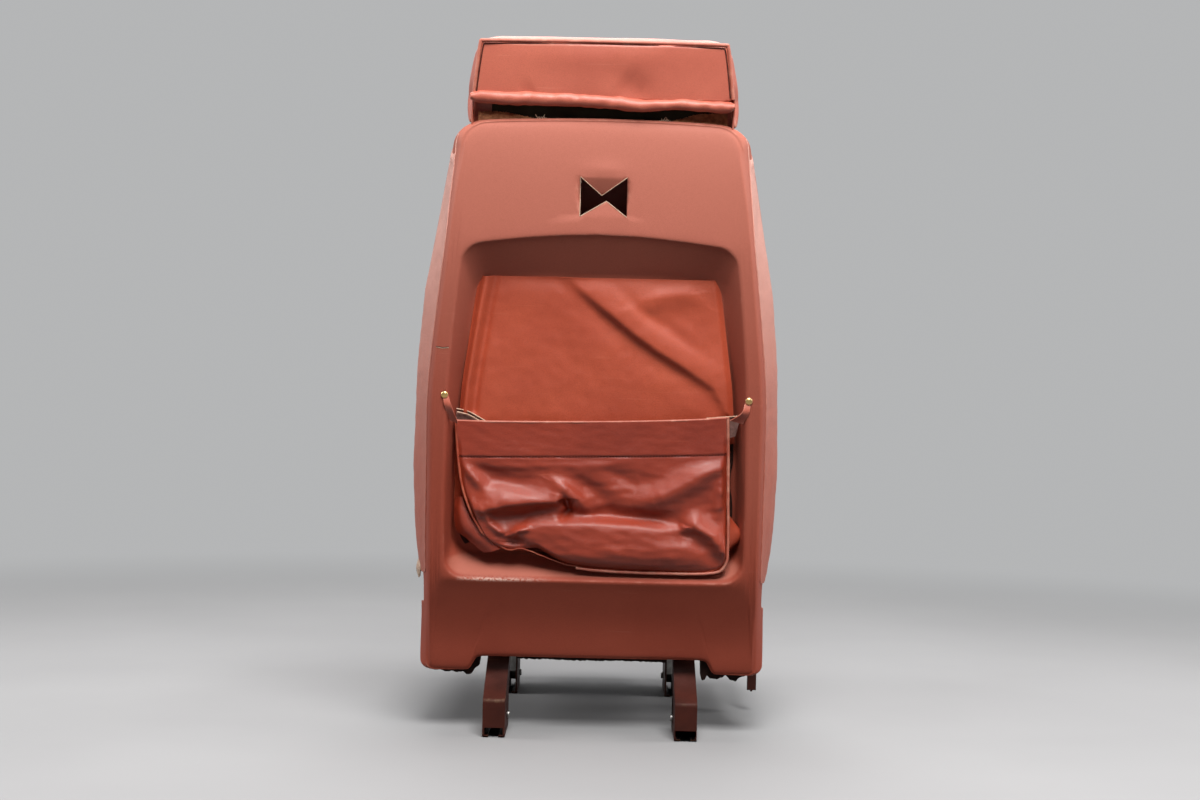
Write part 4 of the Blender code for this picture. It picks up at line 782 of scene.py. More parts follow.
def floor():
    """A pale floor that fades into the wall, and throws little light back."""
    free()
    bpy.ops.mesh.primitive_plane_add(size=24.0, location=(0.0, 0.0, -0.0002))
    plane = called("floor")
    settle(plane)
    made, add, shader = new_finish("pale_floor")
    place = add("TexCoord").outputs["Object"]
    cloud = clouds_of(add, place, 2.0, 3.0)
    shown = mixed(add, cloud, (0.285, 0.285, 0.29, 1.0), (0.33, 0.33, 0.335, 1.0))
    seen = looked_at(add)
    tone = mixed(add, seen, (0.07, 0.07, 0.07, 1.0), shown)
    away = add("VectorMath", {0: place}, operation="LENGTH").outputs["Value"]
    away = spread(add, away, 1.1, 2.8, soft=True)
    feed(shader, {"Base Color": mixed(add, away, tone, (0.0, 0.0, 0.0, 1.0)),
                  "Emission Strength": calc(add, "MULTIPLY", away, seen), "Emission Color": PALE_WALL,
                  "Roughness": 0.75, "Specular IOR Level": 0.0})
    plane.data.materials.append(made)


# Back shell


CUT_LEFT, CUT_RIGHT, CUT_LOW, CUT_HIGH = -0.0344, 0.0277, 0.5357, 0.5869
CUT_ACROSS = (CUT_LEFT + CUT_RIGHT) / 2
CUT_MIDDLE = (CUT_LOW + CUT_HIGH) / 2
FLAP_TALL = 0.0192


def flap_press(x, v):
    """How far the cut-out's flaps are pushed in: the upper one more than the lower."""
    inside = (x > CUT_LEFT - 1e-4) & (x < CUT_RIGHT + 1e-4) & (v > CUT_LOW) & (v < CUT_HIGH)
    upper = np.clip((CUT_HIGH - v) / FLAP_TALL, 0.0, 1.0)
    lower = np.clip((v - CUT_LOW) / FLAP_TALL, 0.0, 1.0)
    return np.where(inside, np.where(v > CUT_MIDDLE, 0.0095 * upper ** 1.15, 0.003 * lower), 0.0)


def cut_for_flaps(made):
    """Cuts the wall's faces finer round the cut-out, and keeps its rim sharp."""
    centre = Vector((CUT_ACROSS, 0.055, CUT_MIDDLE))
    heights = (CUT_LOW, CUT_LOW + 0.0095, CUT_HIGH - 0.0095, CUT_HIGH, 0.598)
    cuts = [((0, 0, v), (0, 0, 1)) for v in heights]
    cuts += [((x, 0, 0), (1, 0, 0)) for x in (CUT_LEFT, -0.019, -0.011, centre.x, 0.004, 0.012, CUT_RIGHT)]
    for place, normal in cuts:
        pick_faces(made, lambda face: (face.center - centre).length < 0.13)
        bpy.ops.mesh.bisect(plane_co=place, plane_no=normal)
        leave_edit()
    pick_faces(made, lambda face: abs(face.normal.y) < 0.5 and abs(face.center.x - centre.x) < 0.033
               and abs(face.center.z - centre.z) < 0.0275)
    bpy.ops.transform.edge_crease(value=1.0)
    leave_edit()


def press_flaps(made):
    """Makes the wall a little uneven and presses the two flaps in, askew."""
    x, w, v = points_of(made).T
    rear = ease(w, 0.03, 0.04)
    lump = 0.0016 * np.exp(-((x + 0.004) ** 2 / 0.028 ** 2 + (v - 0.597) ** 2 / 0.01 ** 2))
    wave = 0.0012 * rumple(stacked(x, w * 0, v), 0.16, 3.0)
    w = w + (lump + wave) * rear - flap_press(x, v)
    within = (x > CUT_LEFT + 6e-4) & (x < CUT_RIGHT - 6e-4) & (v > CUT_LOW) & (v < CUT_HIGH)
    over = np.where(within & (v > CUT_MIDDLE), (CUT_HIGH - v) / FLAP_TALL, 0.0)
    under = np.where(within & (v < CUT_MIDDLE), (v - CUT_LOW) / FLAP_TALL, 0.0)
    x = x + 0.0025 * over - 0.0037 * under
    v = v - 0.0057 * over + 0.001 * under
    put_points(made, stacked(x, w, v))
    return x, w, v


def shell_marks(made, x, w, v):
    """The scuff above the arch, and painted light: the ledge and the right side made paler where light
    falls on them.
    """
    scuff = ridge(x, v, [(0.186, 0.0352), (0.14, 0.0346), (0.088, 0.035)], 1.0, 0.0022)
    ledge = ease(0.064 - v, 0.0, 0.006) * ease(v, 0.034, 0.04) * ease(0.205 - np.abs(x), 0.0, 0.01)
    side = ease(-x, 0.175, 0.2) * ease(v, 0.03, 0.2)
    # Painted light on the upward-facing ledge and on the right side.
    painted_light = 0.85 * ledge * ease(0.069 - w, 0.0, 0.003) + 0.35 * side
    write_mask(made, "painted_light", np.clip(painted_light, 0.0, 1.0))
    write_mask(made, "scuff", scuff * ease(w, 0.06, 0.066))


def on_shell(made, line):
    return surface_line(made, line, (0, 1, 0), -0.0001)


def cut_edges(made):
    """The pale raw edges of the flaps and of the cut-out's one upright side."""
    runs = []
    for base, tip, across, away in ((CUT_HIGH, 0.562, CUT_ACROSS + 0.0025, 0.0004),
                                    (CUT_LOW, 0.5559, CUT_ACROSS - 0.0037, -0.0004)):
        corners = [(CUT_LEFT, 0.06, base), (across, 0.06, tip), (CUT_RIGHT, 0.06, base)]
        down, up = np.linspace(corners[0], corners[1], 14), np.linspace(corners[1], corners[2], 14)[1:]
        runs.append(on_shell(made, np.concatenate([down, up]) + np.array([0.0, 0.0, away])))
    side = CUT_RIGHT + 0.0003
    runs.append(on_shell(made, np.linspace((side, 0.06, CUT_LOW), (side, 0.06, CUT_HIGH), 12)))
    raw = rod("cut_out_raw_edges", runs, 0.00065, BACK, rings=2)
    fix(raw, "backrest", RAW_EDGE)


def shell_crack(made):
    """A short crack at the recess's left side: a dark line with a pale one under it."""
    for name, height, thick, finish in (("pale", 0.3558, 0.0005, RAW_EDGE), ("dark", 0.3567, 0.0006, TORN_AND_SHADE)):
        corners = [(0.2168, 0.08, height + 0.0011), (0.208, 0.08, height), (0.2, 0.08, height + 0.0008)]
        crack = rod(f"shell_crack_{name}", [on_shell(made, smooth_line(corners, 14))], thick, BACK, rings=2)
        fix(crack, "backrest", finish)


def back_shell():
    """The moulded shell, rounded off from the CAD shell's own skin, with its cut flaps pressed in."""
    made = copy_of("back_shell", "shell_moulding")
    settle(made, BACK.inverted())
    cut_for_flaps(made)
    round_off(made, 2)
    shell_marks(made, *press_flaps(made))
    cut_edges(made)
    shell_crack(made)
    settle(made, BACK)
    smooth(made, 50)
    fix(made, "backrest", SHELL, "back_shell", radius=0.008)


# Torn cloth of the back cover's lower end, nearly black, so that its strip across the arch paints the shade
# inside the shell

TORN_EDGE = [
    (0.228, -0.104), (0.222, -0.112), (0.214, -0.1105), (0.206, -0.1135), (0.196, -0.112), (0.188, -0.114),
    (0.181, -0.112), (0.176, -0.1165), (0.169, -0.116), (0.164, -0.108), (0.157, -0.102), (0.152, -0.068),
    (0.111, -0.068), (0.106, -0.0918), (0.02, -0.0926), (-0.06, -0.092), (-0.106, -0.0928),
    (-0.111, -0.068), (-0.152, -0.068), (-0.154, -0.11), (-0.157, -0.118), (-0.161, -0.1175),
    (-0.164, -0.1105), (-0.168, -0.115), (-0.178, -0.1155), (-0.186, -0.113), (-0.19, -0.109),
    (-0.196, -0.116), (-0.204, -0.119), (-0.21, -0.113), (-0.22, -0.109), (-0.228, -0.104),
]


def torn_cloth_and_shade():
    """The dark cloth that hangs, torn, inside the shell's lower edge, its strip across the arch painting
    the shade there, and a leather flap at its notch.
    """
    made = sheet_grid("back_torn_cloth", 320, 14)
    s, t, _ = points_of(made).T
    x = 0.228 - 0.456 * s
    edge = np.array(TORN_EDGE)[::-1]
    frayed = 0.0012 * rumple(stacked(x, x * 0, x * 0), 0.0035, 4.0)
    low = np.interp(x, edge[:, 0], edge[:, 1]) + frayed
    v = low + (-0.06 - low) * t
    w = 0.035 + 0.0009 * rumple(stacked(x, v, s), 0.016, 2.0) - 0.0016 * ease(np.abs(x), 0.205, 0.228)
    lay(made, x, w, v, 0.0009)
    sew(made, TORN_AND_SHADE)
    lines = [
        [(0.247, 0.002, 0.044), (0.2505, 0.003, 0.031), (0.248, 0.006, 0.019)],
        [(0.244, 0.012, 0.043), (0.247, 0.014, 0.031), (0.2455, 0.014, 0.018)],
        [(0.2415, 0.02, 0.04), (0.243, 0.019, 0.03), (0.243, 0.015, 0.021)],
    ]
    flap = loft("bolster_torn_flap", lines, 26, 10, 0.0014, ripple=0.0009, seed=5.0)
    sew(flap, RAW_EDGE)


CREASE_HALF = ((0.0, 0.2288), (0.193, 0.2272), (0.305, 0.2262), (0.426, 0.213), (0.496, 0.205),
               (0.5813, 0.1955), (0.6633, 0.179))


def bolster_cover():
    """The bolsters' leather, drawn back over the shell's side walls and torn at its lower end."""
    rows = np.array(CREASE_HALF)
    shell = BVHTree.FromObject(bpy.data.objects["shell_moulding"], bpy.context.evaluated_depsgraph_get())
    for side, sign in (("left", 1), ("right", -1)):
        low = 0.04 if sign > 0 else 0.034
        heights = np.concatenate([np.linspace(low, 0.56, 16), np.linspace(0.585, 0.64, 5)])
        lines = []
        for share, w, lift in ((0.05, 0.057, 0.0), (0.36, 0.041, -0.006), (0.7, 0.018, -0.01),
                               (0.98, -0.009, 0.0), (0.93, -0.033, 0.004)):
            line = []
            for k, v in enumerate(heights):
                crease = float(np.interp(v, rows[:, 0], rows[:, 1]))
                outer = float(bolster_half(v)) + 0.0015
                high = float(ease(np.array(v), 0.48, 0.625))
                reach = share * (1 - 0.9 * high) if w > 0.0 else share
                back = w - 0.022 * high if w > 0.03 else w
                x = crease + 0.0004 + (outer - crease) * reach
                start = BACK @ Vector((sign * 0.35, back, v))
                hit = shell.ray_cast(start, Vector((-sign, 0.0, 0.0)), 0.2)[0]
                if hit:
                    x = max(x, abs(hit.x) + 0.0012)
                drop = lift * max(0.0, 1 - k / 3)
                line.append((sign * x, back, v + drop))
            lines.append(line)
        cover = loft(f"bolster_cover_{side}", lines, 150, 26, 0.0014, flip=sign < 0, ripple=0.0006,
                     seed=2.0 + sign)
        bead = [Vector(place) + Vector((sign * 0.0008, 0.0, 0.0)) for place in lines[-1]]
        bead = rod(f"bolster_piping_{side}", [smooth_line(bead, 120)], 0.0022, BACK)
        sew(bead, PIPING, 0.004)
        sew(cover, BOLSTER, 0.006)


# Pocket and its lining

FLOOR_HALF = ((0.061, 0.196), (0.2, 0.194), (0.3, 0.186), (0.4, 0.172), (0.453, 0.164))


def lining():
    """The leather panel of the recess, slack, with a long diagonal pull and a rolled left edge."""
    made = sheet_grid("recess_lining", 160, 100)
    s, t, _ = points_of(made).T
    v = 0.226 + 0.224 * t
    rows = np.array(FLOOR_HALF)
    half = np.interp(v, rows[:, 0], rows[:, 1]) - 0.0012
    x = (2 * s - 1) * half
    edge = np.minimum(half - np.abs(x), 0.45 - v)
    sides = half - np.abs(x)
    w = 0.0318 + 0.004 * ease(sides, 0.0, 0.009) + 0.0075 * ease(0.45 - v, 0.0, 0.22)
    pull = [(0.0432, 0.4522), (0.0279, 0.44), (0.0094, 0.4248), (-0.0214, 0.4004), (-0.0524, 0.3759),
            (-0.0833, 0.3544), (-0.1143, 0.3359), (-0.1611, 0.3049), (-0.1775, 0.2738)]
    w += ridge(x, v, pull, 0.0078, 0.008, 0.034, ends=(0.3, 0.4))
    w += ridge(x, v, [(a + 0.008, b - 0.01) for a, b in pull[1:-1]], -0.0022, 0.02, 0.009)
    w += ridge(x, v, [(-0.02, 0.44), (-0.06, 0.405), (-0.105, 0.375), (-0.15, 0.345)], -0.002, 0.008, 0.01)
    w += ridge(x, v, [(-0.0513, 0.4157), (-0.0813, 0.4248), (-0.1174, 0.4309), (-0.142, 0.4187)], 0.004,
               0.018, 0.01)
    roll = [(0.152, 0.4491), (0.159, 0.4126), (0.169, 0.3513), (0.177, 0.2987), (0.18, 0.265)]
    w += ridge(x, v, roll, 0.007, 0.0055, 0.0055, ends=(0.6, 1.0))
    w += ridge(x, v, [(a - 0.0125, b) for a, b in roll], -0.004, 0.005, 0.005, ends=(0.6, 1.0))
    w += ridge(x, v, [(0.15, 0.45), (0.06, 0.448), (-0.06, 0.45), (-0.15, 0.45)], -0.003, 0.012, 0.004)
    flat = stacked(x, v, v * 0)
    w += (0.001 * rumple(flat, 0.05, 1.0) + 0.0004 * rumple(flat, 0.014, 5.0)) * ease(edge, 0.0, 0.02)
    w = np.maximum(w, 0.0316)
    lay(made, x, w, v, 0.0012, turned=True)
    sew(made, LINING_LEATHER, 0.006, "pocket_lining")


def recess_shade_sheet():
    """A dark sheet on the board, behind the pocket and below it, that paints the shade the pocket casts
    there.
    """
    cloth = sheet_grid("recess_shade_sheet", 60, 30)
    s, t, _ = points_of(cloth).T
    x, v = (2 * s - 1) * 0.192, 0.068 + 0.164 * t
    v = v - 0.003 * (1 - t) * rumple(stacked(x, t * 0, s), 0.02, 3.0)
    w = 0.0296 + 0.001 * rumple(stacked(x, v, s), 0.03, 6.0) + 0.0012 * t
    lay(cloth, x, w, v, 0.001, turned=True)
    sew(cloth, SHADE_SHEET)


TOP_LINE = [(0.1905, 0.2529), (0.0765, 0.2544), (-0.0362, 0.2572), (-0.1207, 0.261), (-0.177, 0.265)]
STITCH_LINE = [(0.188, 0.2038), (0.0757, 0.2064), (-0.0374, 0.2093), (-0.1223, 0.2122), (-0.179, 0.2145)]
RIGHT_LINE = [(-0.177, 0.265), (-0.1793, 0.2075), (-0.1806, 0.1492), (-0.1822, 0.1051), (-0.1822, 0.074)]
BOTTOM_LINE = [
    (0.152, 0.0992), (0.1395, 0.085), (0.1194, 0.0775), (0.0937, 0.0785), (0.0765, 0.0791), (0.0563, 0.068),
    (0.0332, 0.0575), (-0.0128, 0.052), (-0.0989, 0.0495), (-0.1562, 0.0505), (-0.178, 0.058),
    (-0.1822, 0.074),
]
LEFT_LINE = [(0.1905, 0.2529), (0.1865, 0.2017), (0.18, 0.1609), (0.167, 0.1257), (0.152, 0.0992)]

# Folds of the pocket's front: path, height, width below and above, strength at its ends.
FOLDS = (
    ([(0.168, 0.124), (0.1586, 0.133), (0.1251, 0.1417), (0.0855, 0.147), (0.054, 0.149)], 0.013,
     0.0085, 0.02, (0.3, 0.95)),
    ([(0.044, 0.156), (0.0375, 0.143), (0.0345, 0.132), (0.044, 0.123)], -0.009, 0.005, 0.005, (0.3, 0.5)),
    ([(0.148, 0.119), (0.123, 0.118), (0.097, 0.121), (0.069, 0.13)], -0.007, 0.008, 0.008, (0.3, 0.5)),
    ([(0.1093, 0.1022), (0.088, 0.1105), (0.0453, 0.1145), (0.0025, 0.116), (-0.0434, 0.115),
      (-0.0741, 0.1115), (-0.1142, 0.1022)], 0.0065, 0.02, 0.0055, (0.5, 0.3)),
    ([(0.085, 0.085), (0.03, 0.08), (-0.04, 0.078), (-0.11, 0.078), (-0.16, 0.08)], 0.012, 0.022, 0.034,
     (0.3, 0.5)),
    ([(0.04, 0.126), (0.0272, 0.1275), (-0.0218, 0.1255), (-0.0738, 0.123), (-0.115, 0.118)], -0.0095,
     0.006, 0.013, (0.5, 0.8)),
    ([(-0.1136, 0.1165), (-0.1381, 0.119), (-0.1631, 0.1038), (-0.18, 0.0816)], 0.0105, 0.0085, 0.012,
     (0.3, 0.6)),
    ([(-0.095, 0.102), (-0.13, 0.099), (-0.152, 0.086), (-0.168, 0.068)], -0.005, 0.01, 0.008, (0.3, 0.6)),
    ([(-0.052, 0.1401), (-0.0821, 0.1527), (-0.1121, 0.1683), (-0.142, 0.1871), (-0.1746, 0.2089)],
     0.0105, 0.018, 0.014, (0.2, 0.8)),
    ([(-0.1755, 0.184), (-0.1705, 0.1558), (-0.167, 0.1243)], 0.005, 0.008, 0.008, (0.3, 0.3)),
    ([(0.0585, 0.1746), (0.0432, 0.1683), (0.0277, 0.1558), (0.0152, 0.1401), (0.0058, 0.1306)], 0.007,
     0.011, 0.007, (0.4, 0.3)),
    ([(0.182, 0.198), (0.1774, 0.1918), (0.1621, 0.1746), (0.1513, 0.1605)], 0.006, 0.008, 0.008,
     (0.8, 0.3)),
    ([(0.174, 0.196), (0.1407, 0.1746), (0.0888, 0.164), (0.065, 0.16)], -0.0075, 0.01, 0.017, (0.3, 0.4)),
    ([(0.03, 0.178), (0.0033, 0.16), (-0.0214, 0.1401)], -0.006, 0.012, 0.012, (0.3, 0.5)),
    ([(-0.01, 0.19), (-0.056, 0.172), (-0.09, 0.178)], -0.003, 0.01, 0.01, (0.3, 0.3)),
    ([(0.156, 0.135), (0.143, 0.114), (0.128, 0.102), (0.114, 0.092)], 0.005, 0.005, 0.005, (0.3, 0.5)),
    ([(0.112, 0.098), (0.104, 0.106), (0.092, 0.108)], 0.006, 0.004, 0.004, (0.6, 0.6)),
    ([(0.121, 0.094), (0.108, 0.088), (0.094, 0.082)], -0.009, 0.008, 0.008, (0.5, 0.5)),
    ([(0.141, 0.193), (0.0347, 0.197), (-0.0563, 0.202)], 0.002, 0.006, 0.004, (0.3, 0.3)),
)


def pocket_depth(x, v):
    """How far the pocket's front stands out, before its folds."""
    drop = np.clip((0.258 - v) / 0.205, 0.0, 1.0)
    return 0.059 + 0.012 * drop ** 1.3 - 0.004 * ease(np.abs(x), 0.14, 0.19) * (1 - drop)


def border(points, count):
    return smooth_line([(x, v, 0.0) for x, v in points], count)[:, :2]


def front_point(lines, s, t):
    """Points of a patch between four border lines, at shares s across and t down."""
    top, bottom, left, right = lines

    def on(line, share):
        places = np.linspace(0.0, 1.0, len(line))
        return np.stack([np.interp(share, places, line[:, k]) for k in range(2)], axis=1)

    s_, t_ = s[:, None], t[:, None]
    patch = (1 - t_) * on(top, s) + t_ * on(bottom, s) + (1 - s_) * on(left, t) + s_ * on(right, t)
    above = (1 - s_) * (1 - t_) * top[0] + s_ * (1 - t_) * top[-1]
    return patch - above - (1 - s_) * t_ * bottom[0] - s_ * t_ * bottom[-1]


# How deep the gussets' rear edges lie
REAR = 0.0345


def depth_at(x, v):
    return float(pocket_depth(np.array(x), np.array(v)))


def at_depth(points, w):
    """Points of the back's plane at one depth, or at a depth of their own each."""
    return [(x, w if isinstance(w, float) else w[i], v) for i, (x, v) in enumerate(points)]


def front_of(line, back=0.0012):
    """Points of the back's plane, just behind the pocket's front."""
    return [(x, depth_at(x, v) - back, v) for x, v in line]


def rim(line, lift=0.0, out=0.0):
    """A border line at the front's depth, moved outwards from the pocket's middle."""
    points = []
    for x, v in line:
        away = Vector((x - 0.004, v - 0.16)).normalized() * out
        points.append((x + away.x, depth_at(x, v) + lift, v + away.y))
    return points


def pocket_front(lines):
    """The pocket's front, with its hem and its folds."""
    made = sheet_grid("pocket_front", 190, 130)
    gx, gy, _ = points_of(made).T
    x, v = front_point(lines, 1 - gx, 1 - gy).T
    w = pocket_depth(x, v)
    hem = np.interp(x, [p[0] for p in reversed(STITCH_LINE)], [p[1] for p in reversed(STITCH_LINE)])
    body = ease(hem - v, 0.002, 0.022)
    edge = np.minimum(np.minimum(gx, 1 - gx) * 0.37, gy * 0.19)
    slack = body * ease(edge, 0.0, 0.012)
    folds = sum(ridge(x, v, *fold) for fold in FOLDS)
    flat = stacked(x, v, v * 0)
    drawn = stacked(x * 0.45 + v * 0.5, v - x * 0.25, v * 0)
    folds += 0.0016 * rumple(flat, 0.04, 2.0) + 0.0008 * rumple(drawn, 0.01, 7.0)
    w = w + 1.1 * folds * slack
    w += 0.0011 * ease(v - hem, -0.0008, 0.0008) - 0.0012 * np.exp(-((v - hem) / 0.0012) ** 2)
    w += (0.0012 * rumple(flat, 0.035, 9.0) + 0.0004 * rumple(drawn, 0.009, 4.0)) * (1 - body)
    w -= 0.0028 * (1 - ease(edge, 0.0, 0.006)) * ease(hem + 0.03 - v, 0.0, 0.02)
    return lay(made, x, w, v, 0.0015, turned=True)


def pocket_seams(lines):
    """The roll of the hem, the piping round the front, and the hem's stitches."""
    roll = rod("pocket_hem_roll", [rim(lines[0], -0.0006)], 0.0017, BACK)
    sew(roll, PIPING, 0.003)
    loop = np.concatenate([lines[3], lines[1][::-1][1:]])[:128]
    right = rod("pocket_piping", [smooth_line(rim(even(loop, 26), -0.0012, 0.0024), 220)], 0.0021, BACK)
    sew(right, PIPING, 0.004)
    left_line = smooth_line(rim(even(lines[2], 14), -0.0014, 0.0014), 120)
    left = rod("pocket_piping_left", [left_line], 0.0017, BACK)
    sew(left, LEATHER, 0.004)
    row = stitches("pocket_stitches", front_of(border(STITCH_LINE, 60), 0.0002), (0.0, 1.0, 0.0), BACK,
                   pitch=0.0042, thread=0.00035)
    sew(row, THREAD)
    return [roll, right, left, row]


def pocket_gussets():
    """The pocket's sides and bottom, and the flap of the left one."""
    rear_left = [(0.195, 0.2529), (0.1945, 0.2017), (0.193, 0.1609), (0.1912, 0.115), (0.156, 0.0745)]
    fold_left = [(0.1925, 0.2529), (0.188, 0.2017), (0.1835, 0.1609), (0.174, 0.12), (0.15, 0.09)]
    outer = [(0.1905, 0.1441), (0.1922, 0.124), (0.1895, 0.101), (0.1754, 0.0877), (0.1507, 0.069)]
    inner = [(0.1818, 0.1467), (0.1765, 0.13), (0.167, 0.113), (0.152, 0.096), (0.129, 0.076)]
    middle = [((a[0] + b[0]) / 2, (a[1] + b[1]) / 2) for a, b in zip(outer, inner)]
    rear_low = [(0.156, 0.0745), (0.13, 0.07), (0.09, 0.066), (0.04, 0.064), (-0.05, 0.064),
                (-0.15, 0.065), (-0.172, 0.086)]
    front_low = [(0.152, 0.0992), (0.1194, 0.0775), (0.0937, 0.0785), (0.0332, 0.0575), (-0.05, 0.0505),
                 (-0.1562, 0.0505), (-0.1822, 0.074)]
    rear_right = [(-0.172, 0.086), (-0.1725, 0.1051), (-0.1725, 0.1492), (-0.173, 0.2075), (-0.176, 0.262)]
    ear = [(-0.185, 0.082), (-0.203, 0.101), (-0.18, 0.14), (-0.179, 0.2075), (-0.178, 0.264)]
    left = [at_depth(rear_left, REAR), at_depth(fold_left, 0.044), front_of(LEFT_LINE)]
    flap = [
        at_depth(outer, [0.046, 0.048, 0.05, 0.052, 0.056]),
        at_depth(middle, [0.053, 0.0565, 0.06, 0.062, 0.063]),
        at_depth(inner, [0.054, 0.056, 0.059, 0.062, 0.064]),
    ]
    low = [at_depth(rear_low, REAR), front_of(front_low)]
    right = [at_depth(rear_right, REAR), at_depth(ear, [0.05, 0.054, 0.048, 0.047, 0.047]),
             front_of(RIGHT_LINE[::-1])]
    made = []
    for name, lines, along, across, thickness, ripple, seed, finish in (
        ("left", left, 70, 18, 0.0012, 0.0012, 3.0, LEATHER),
        ("flap", flap, 50, 16, 0.0014, 0.0008, 8.0, POCKET_LEATHER),
        ("low", low, 110, 10, 0.0012, 0.0012, 5.0, LEATHER),
        ("right", right, 70, 18, 0.0012, 0.001, 6.0, LEATHER),
    ):
        gusset = loft(f"pocket_gusset_{name}", lines, along, across, thickness, flip=True,
                      ripple=ripple, seed=seed)
        made.append(sew(gusset, finish, 0.004))
    return made


def pocket_straps():
    """The two leather straps that run from the studs into the pocket."""
    made = []
    for name, lines in (
        ("left", [[(0.2075, 0.0745, 0.2935), (0.2052, 0.0775, 0.279), (0.1985, 0.067, 0.256)],
                  [(0.2, 0.075, 0.2935), (0.1945, 0.0785, 0.275), (0.1875, 0.064, 0.251)]]),
        ("right", [[(-0.2075, 0.0745, 0.2905), (-0.2058, 0.0775, 0.277), (-0.1985, 0.069, 0.26)],
                   [(-0.2, 0.075, 0.2905), (-0.195, 0.0785, 0.276), (-0.181, 0.064, 0.263)]]),
    ):
        strap = loft(f"pocket_strap_{name}", lines, 24, 6, 0.0014, flip=name == "right")
        made.append(sew(strap, HEAD_LEATHER, 0.003))
    return made


def pocket_raw_edges():
    """The pale cut edges at the pocket's mouth, and the leather tucked in behind them."""
    lines = (
        [(0.1911, 0.05, 0.269), (0.174, 0.046, 0.2641), (0.1511, 0.044, 0.2511)],
        [(0.19, 0.052, 0.265), (0.174, 0.048, 0.26), (0.157, 0.047, 0.2505)],
        [(-0.1501, 0.05, 0.2628), (-0.1783, 0.052, 0.266), (-0.196, 0.06, 0.269)],
        [(-0.1501, 0.053, 0.2605), (-0.177, 0.056, 0.264)],
    )
    edges = rod("pocket_raw_edges", [smooth_line(line, 30) for line in lines], 0.0009, BACK, rings=2)
    made = [sew(edges, RAW_EDGE)]
    for name, lines in (
        ("left", [[(0.1911, 0.049, 0.269), (0.174, 0.045, 0.2641), (0.1511, 0.043, 0.2511)],
                  [(0.1915, 0.049, 0.235), (0.174, 0.045, 0.23), (0.15, 0.043, 0.23)]]),
        ("right", [[(-0.196, 0.059, 0.269), (-0.1783, 0.051, 0.266), (-0.1501, 0.049, 0.2628)],
                   [(-0.19, 0.056, 0.24), (-0.175, 0.05, 0.235), (-0.15, 0.048, 0.235)]]),
    ):
        tuck = loft(f"pocket_tuck_{name}", lines, 20, 8, 0.0012, flip=name == "left")
        made.append(sew(tuck, SUEDE))
    return made


def pocket():
    """The pocket: its front, and all that is sewn to it."""
    lines = [border(line, 80) for line in (TOP_LINE, BOTTOM_LINE, LEFT_LINE, RIGHT_LINE)]
    made = pocket_front(lines)
    parts = pocket_seams(lines) + pocket_gussets() + pocket_straps() + pocket_raw_edges()
    sew(made, POCKET_LEATHER, 0.006, "map_pocket")


# Headrest


def headrest():
    """The headrest: a filled box cushion with piped edges, its lower back hanging open over the plate."""
    made = pad_block(
        "headrest_pad",
        [((-0.166, -0.05, 0.6515), (0.166, 0.0235, 0.763)), ((-0.166, 0.0, 0.688), (0.166, 0.0415, 0.763))],
        0.005,
    )
    points = points_of(made)
    points[:, 0] *= np.interp(points[:, 2], [0.6515, 0.763], [1.072, 0.985])
    points[:, 0] *= 1 - 0.028 * ease(points[:, 1], 0.022, 0.0415)
    put_points(made, points)

    def reach(points):
        x, w, v = points.T
        seat = ease(v, 0.655, 0.675)
        step = 1 - np.exp(-((w - 0.0245) / 0.01) ** 2) * (v < 0.7)
        return 0.0055 * seat * step * (1 - 0.94 * ease(w, 0.008, 0.032)) + 0.0004

    fill_pad(made, reach)
    round_off(made)
    points = points_of(made)
    x, w, v = points.T
    panel = 0.0445 + 0.002 * np.clip(1 - (x / 0.17) ** 2, 0,
                                     1) * np.clip(1 - ((v - 0.728) / 0.045) ** 2, 0, 1)
    square = ease(w, 0.035, 0.0405) * (v > 0.68)
    w = w + (panel - w) * square
    x = x * (1 + 0.018 * ease(w, 0.036, 0.041) + 0.024 * np.exp(-((w + 0.002) / 0.026) ** 2))
    behind = ease(w, 0.03, 0.042)
    sag = ridge(x, v, [(-0.02, 0.716), (-0.045, 0.7), (-0.06, 0.69)], -0.0035, 0.02)
    sag += ridge(x, v, [(0.09, 0.7), (0.11, 0.69)], -0.002, 0.015)
    sag += ridge(x, v, [(0.13, 0.752), (0.04, 0.745), (-0.11, 0.752)], 0.0015, 0.02)
    w = w + behind * (sag + 0.0008 * rumple(points, 0.05, 2.0))
    v = v + 0.0015 * rumple(points, 0.07, 6.0) * ease(v, 0.74, 0.76)
    put_points(made, stacked(x, w, v))
    settle(made, BACK)
    smooth(made)
    sew(made, HEAD_LEATHER, 0.01, "headrest_cushion", "headrest")


def frame_line(w, inset, low):
    """Up one side of the headrest, across its top and down the other, at a depth."""
    top = 0.7622 - inset
    side = [(0.1715 - inset, w, low), (0.1676 - inset, w, 0.725), (0.1636 - inset, w, top - 0.007)]
    corner = [(0.1612 - inset, w, top - 0.0017), (0.155 - inset, w, top), (0.06, w, top + 0.001)]
    return side + corner + [(-x, w, v) for x, w, v in reversed(side + corner)]


def headrest_seams():
    """The headrest's two piped edges, and a dark thread line inside the rear one that paints the seam's
    shade.
    """
    for name, w, inset, low, count, radius, rings, finish, bulge in (
        ("piping_rear", 0.0432, 0.0, 0.692, 120, 0.0026, 3, PIPING, 0.004),
        # A dark line of thread that paints the shade in the seam.
        ("seam", 0.0452, 0.0038, 0.694, 140, 0.001, 1, THREAD, 0.005),
        ("piping_front", -0.0465, 0.004, 0.66, 120, 0.0022, 3, PIPING, 0.004),
    ):
        line = smooth_line(frame_line(w, inset, low), count)
        sew(rod(f"headrest_{name}", [line], radius, BACK, rings=rings), finish, bulge, body="headrest")


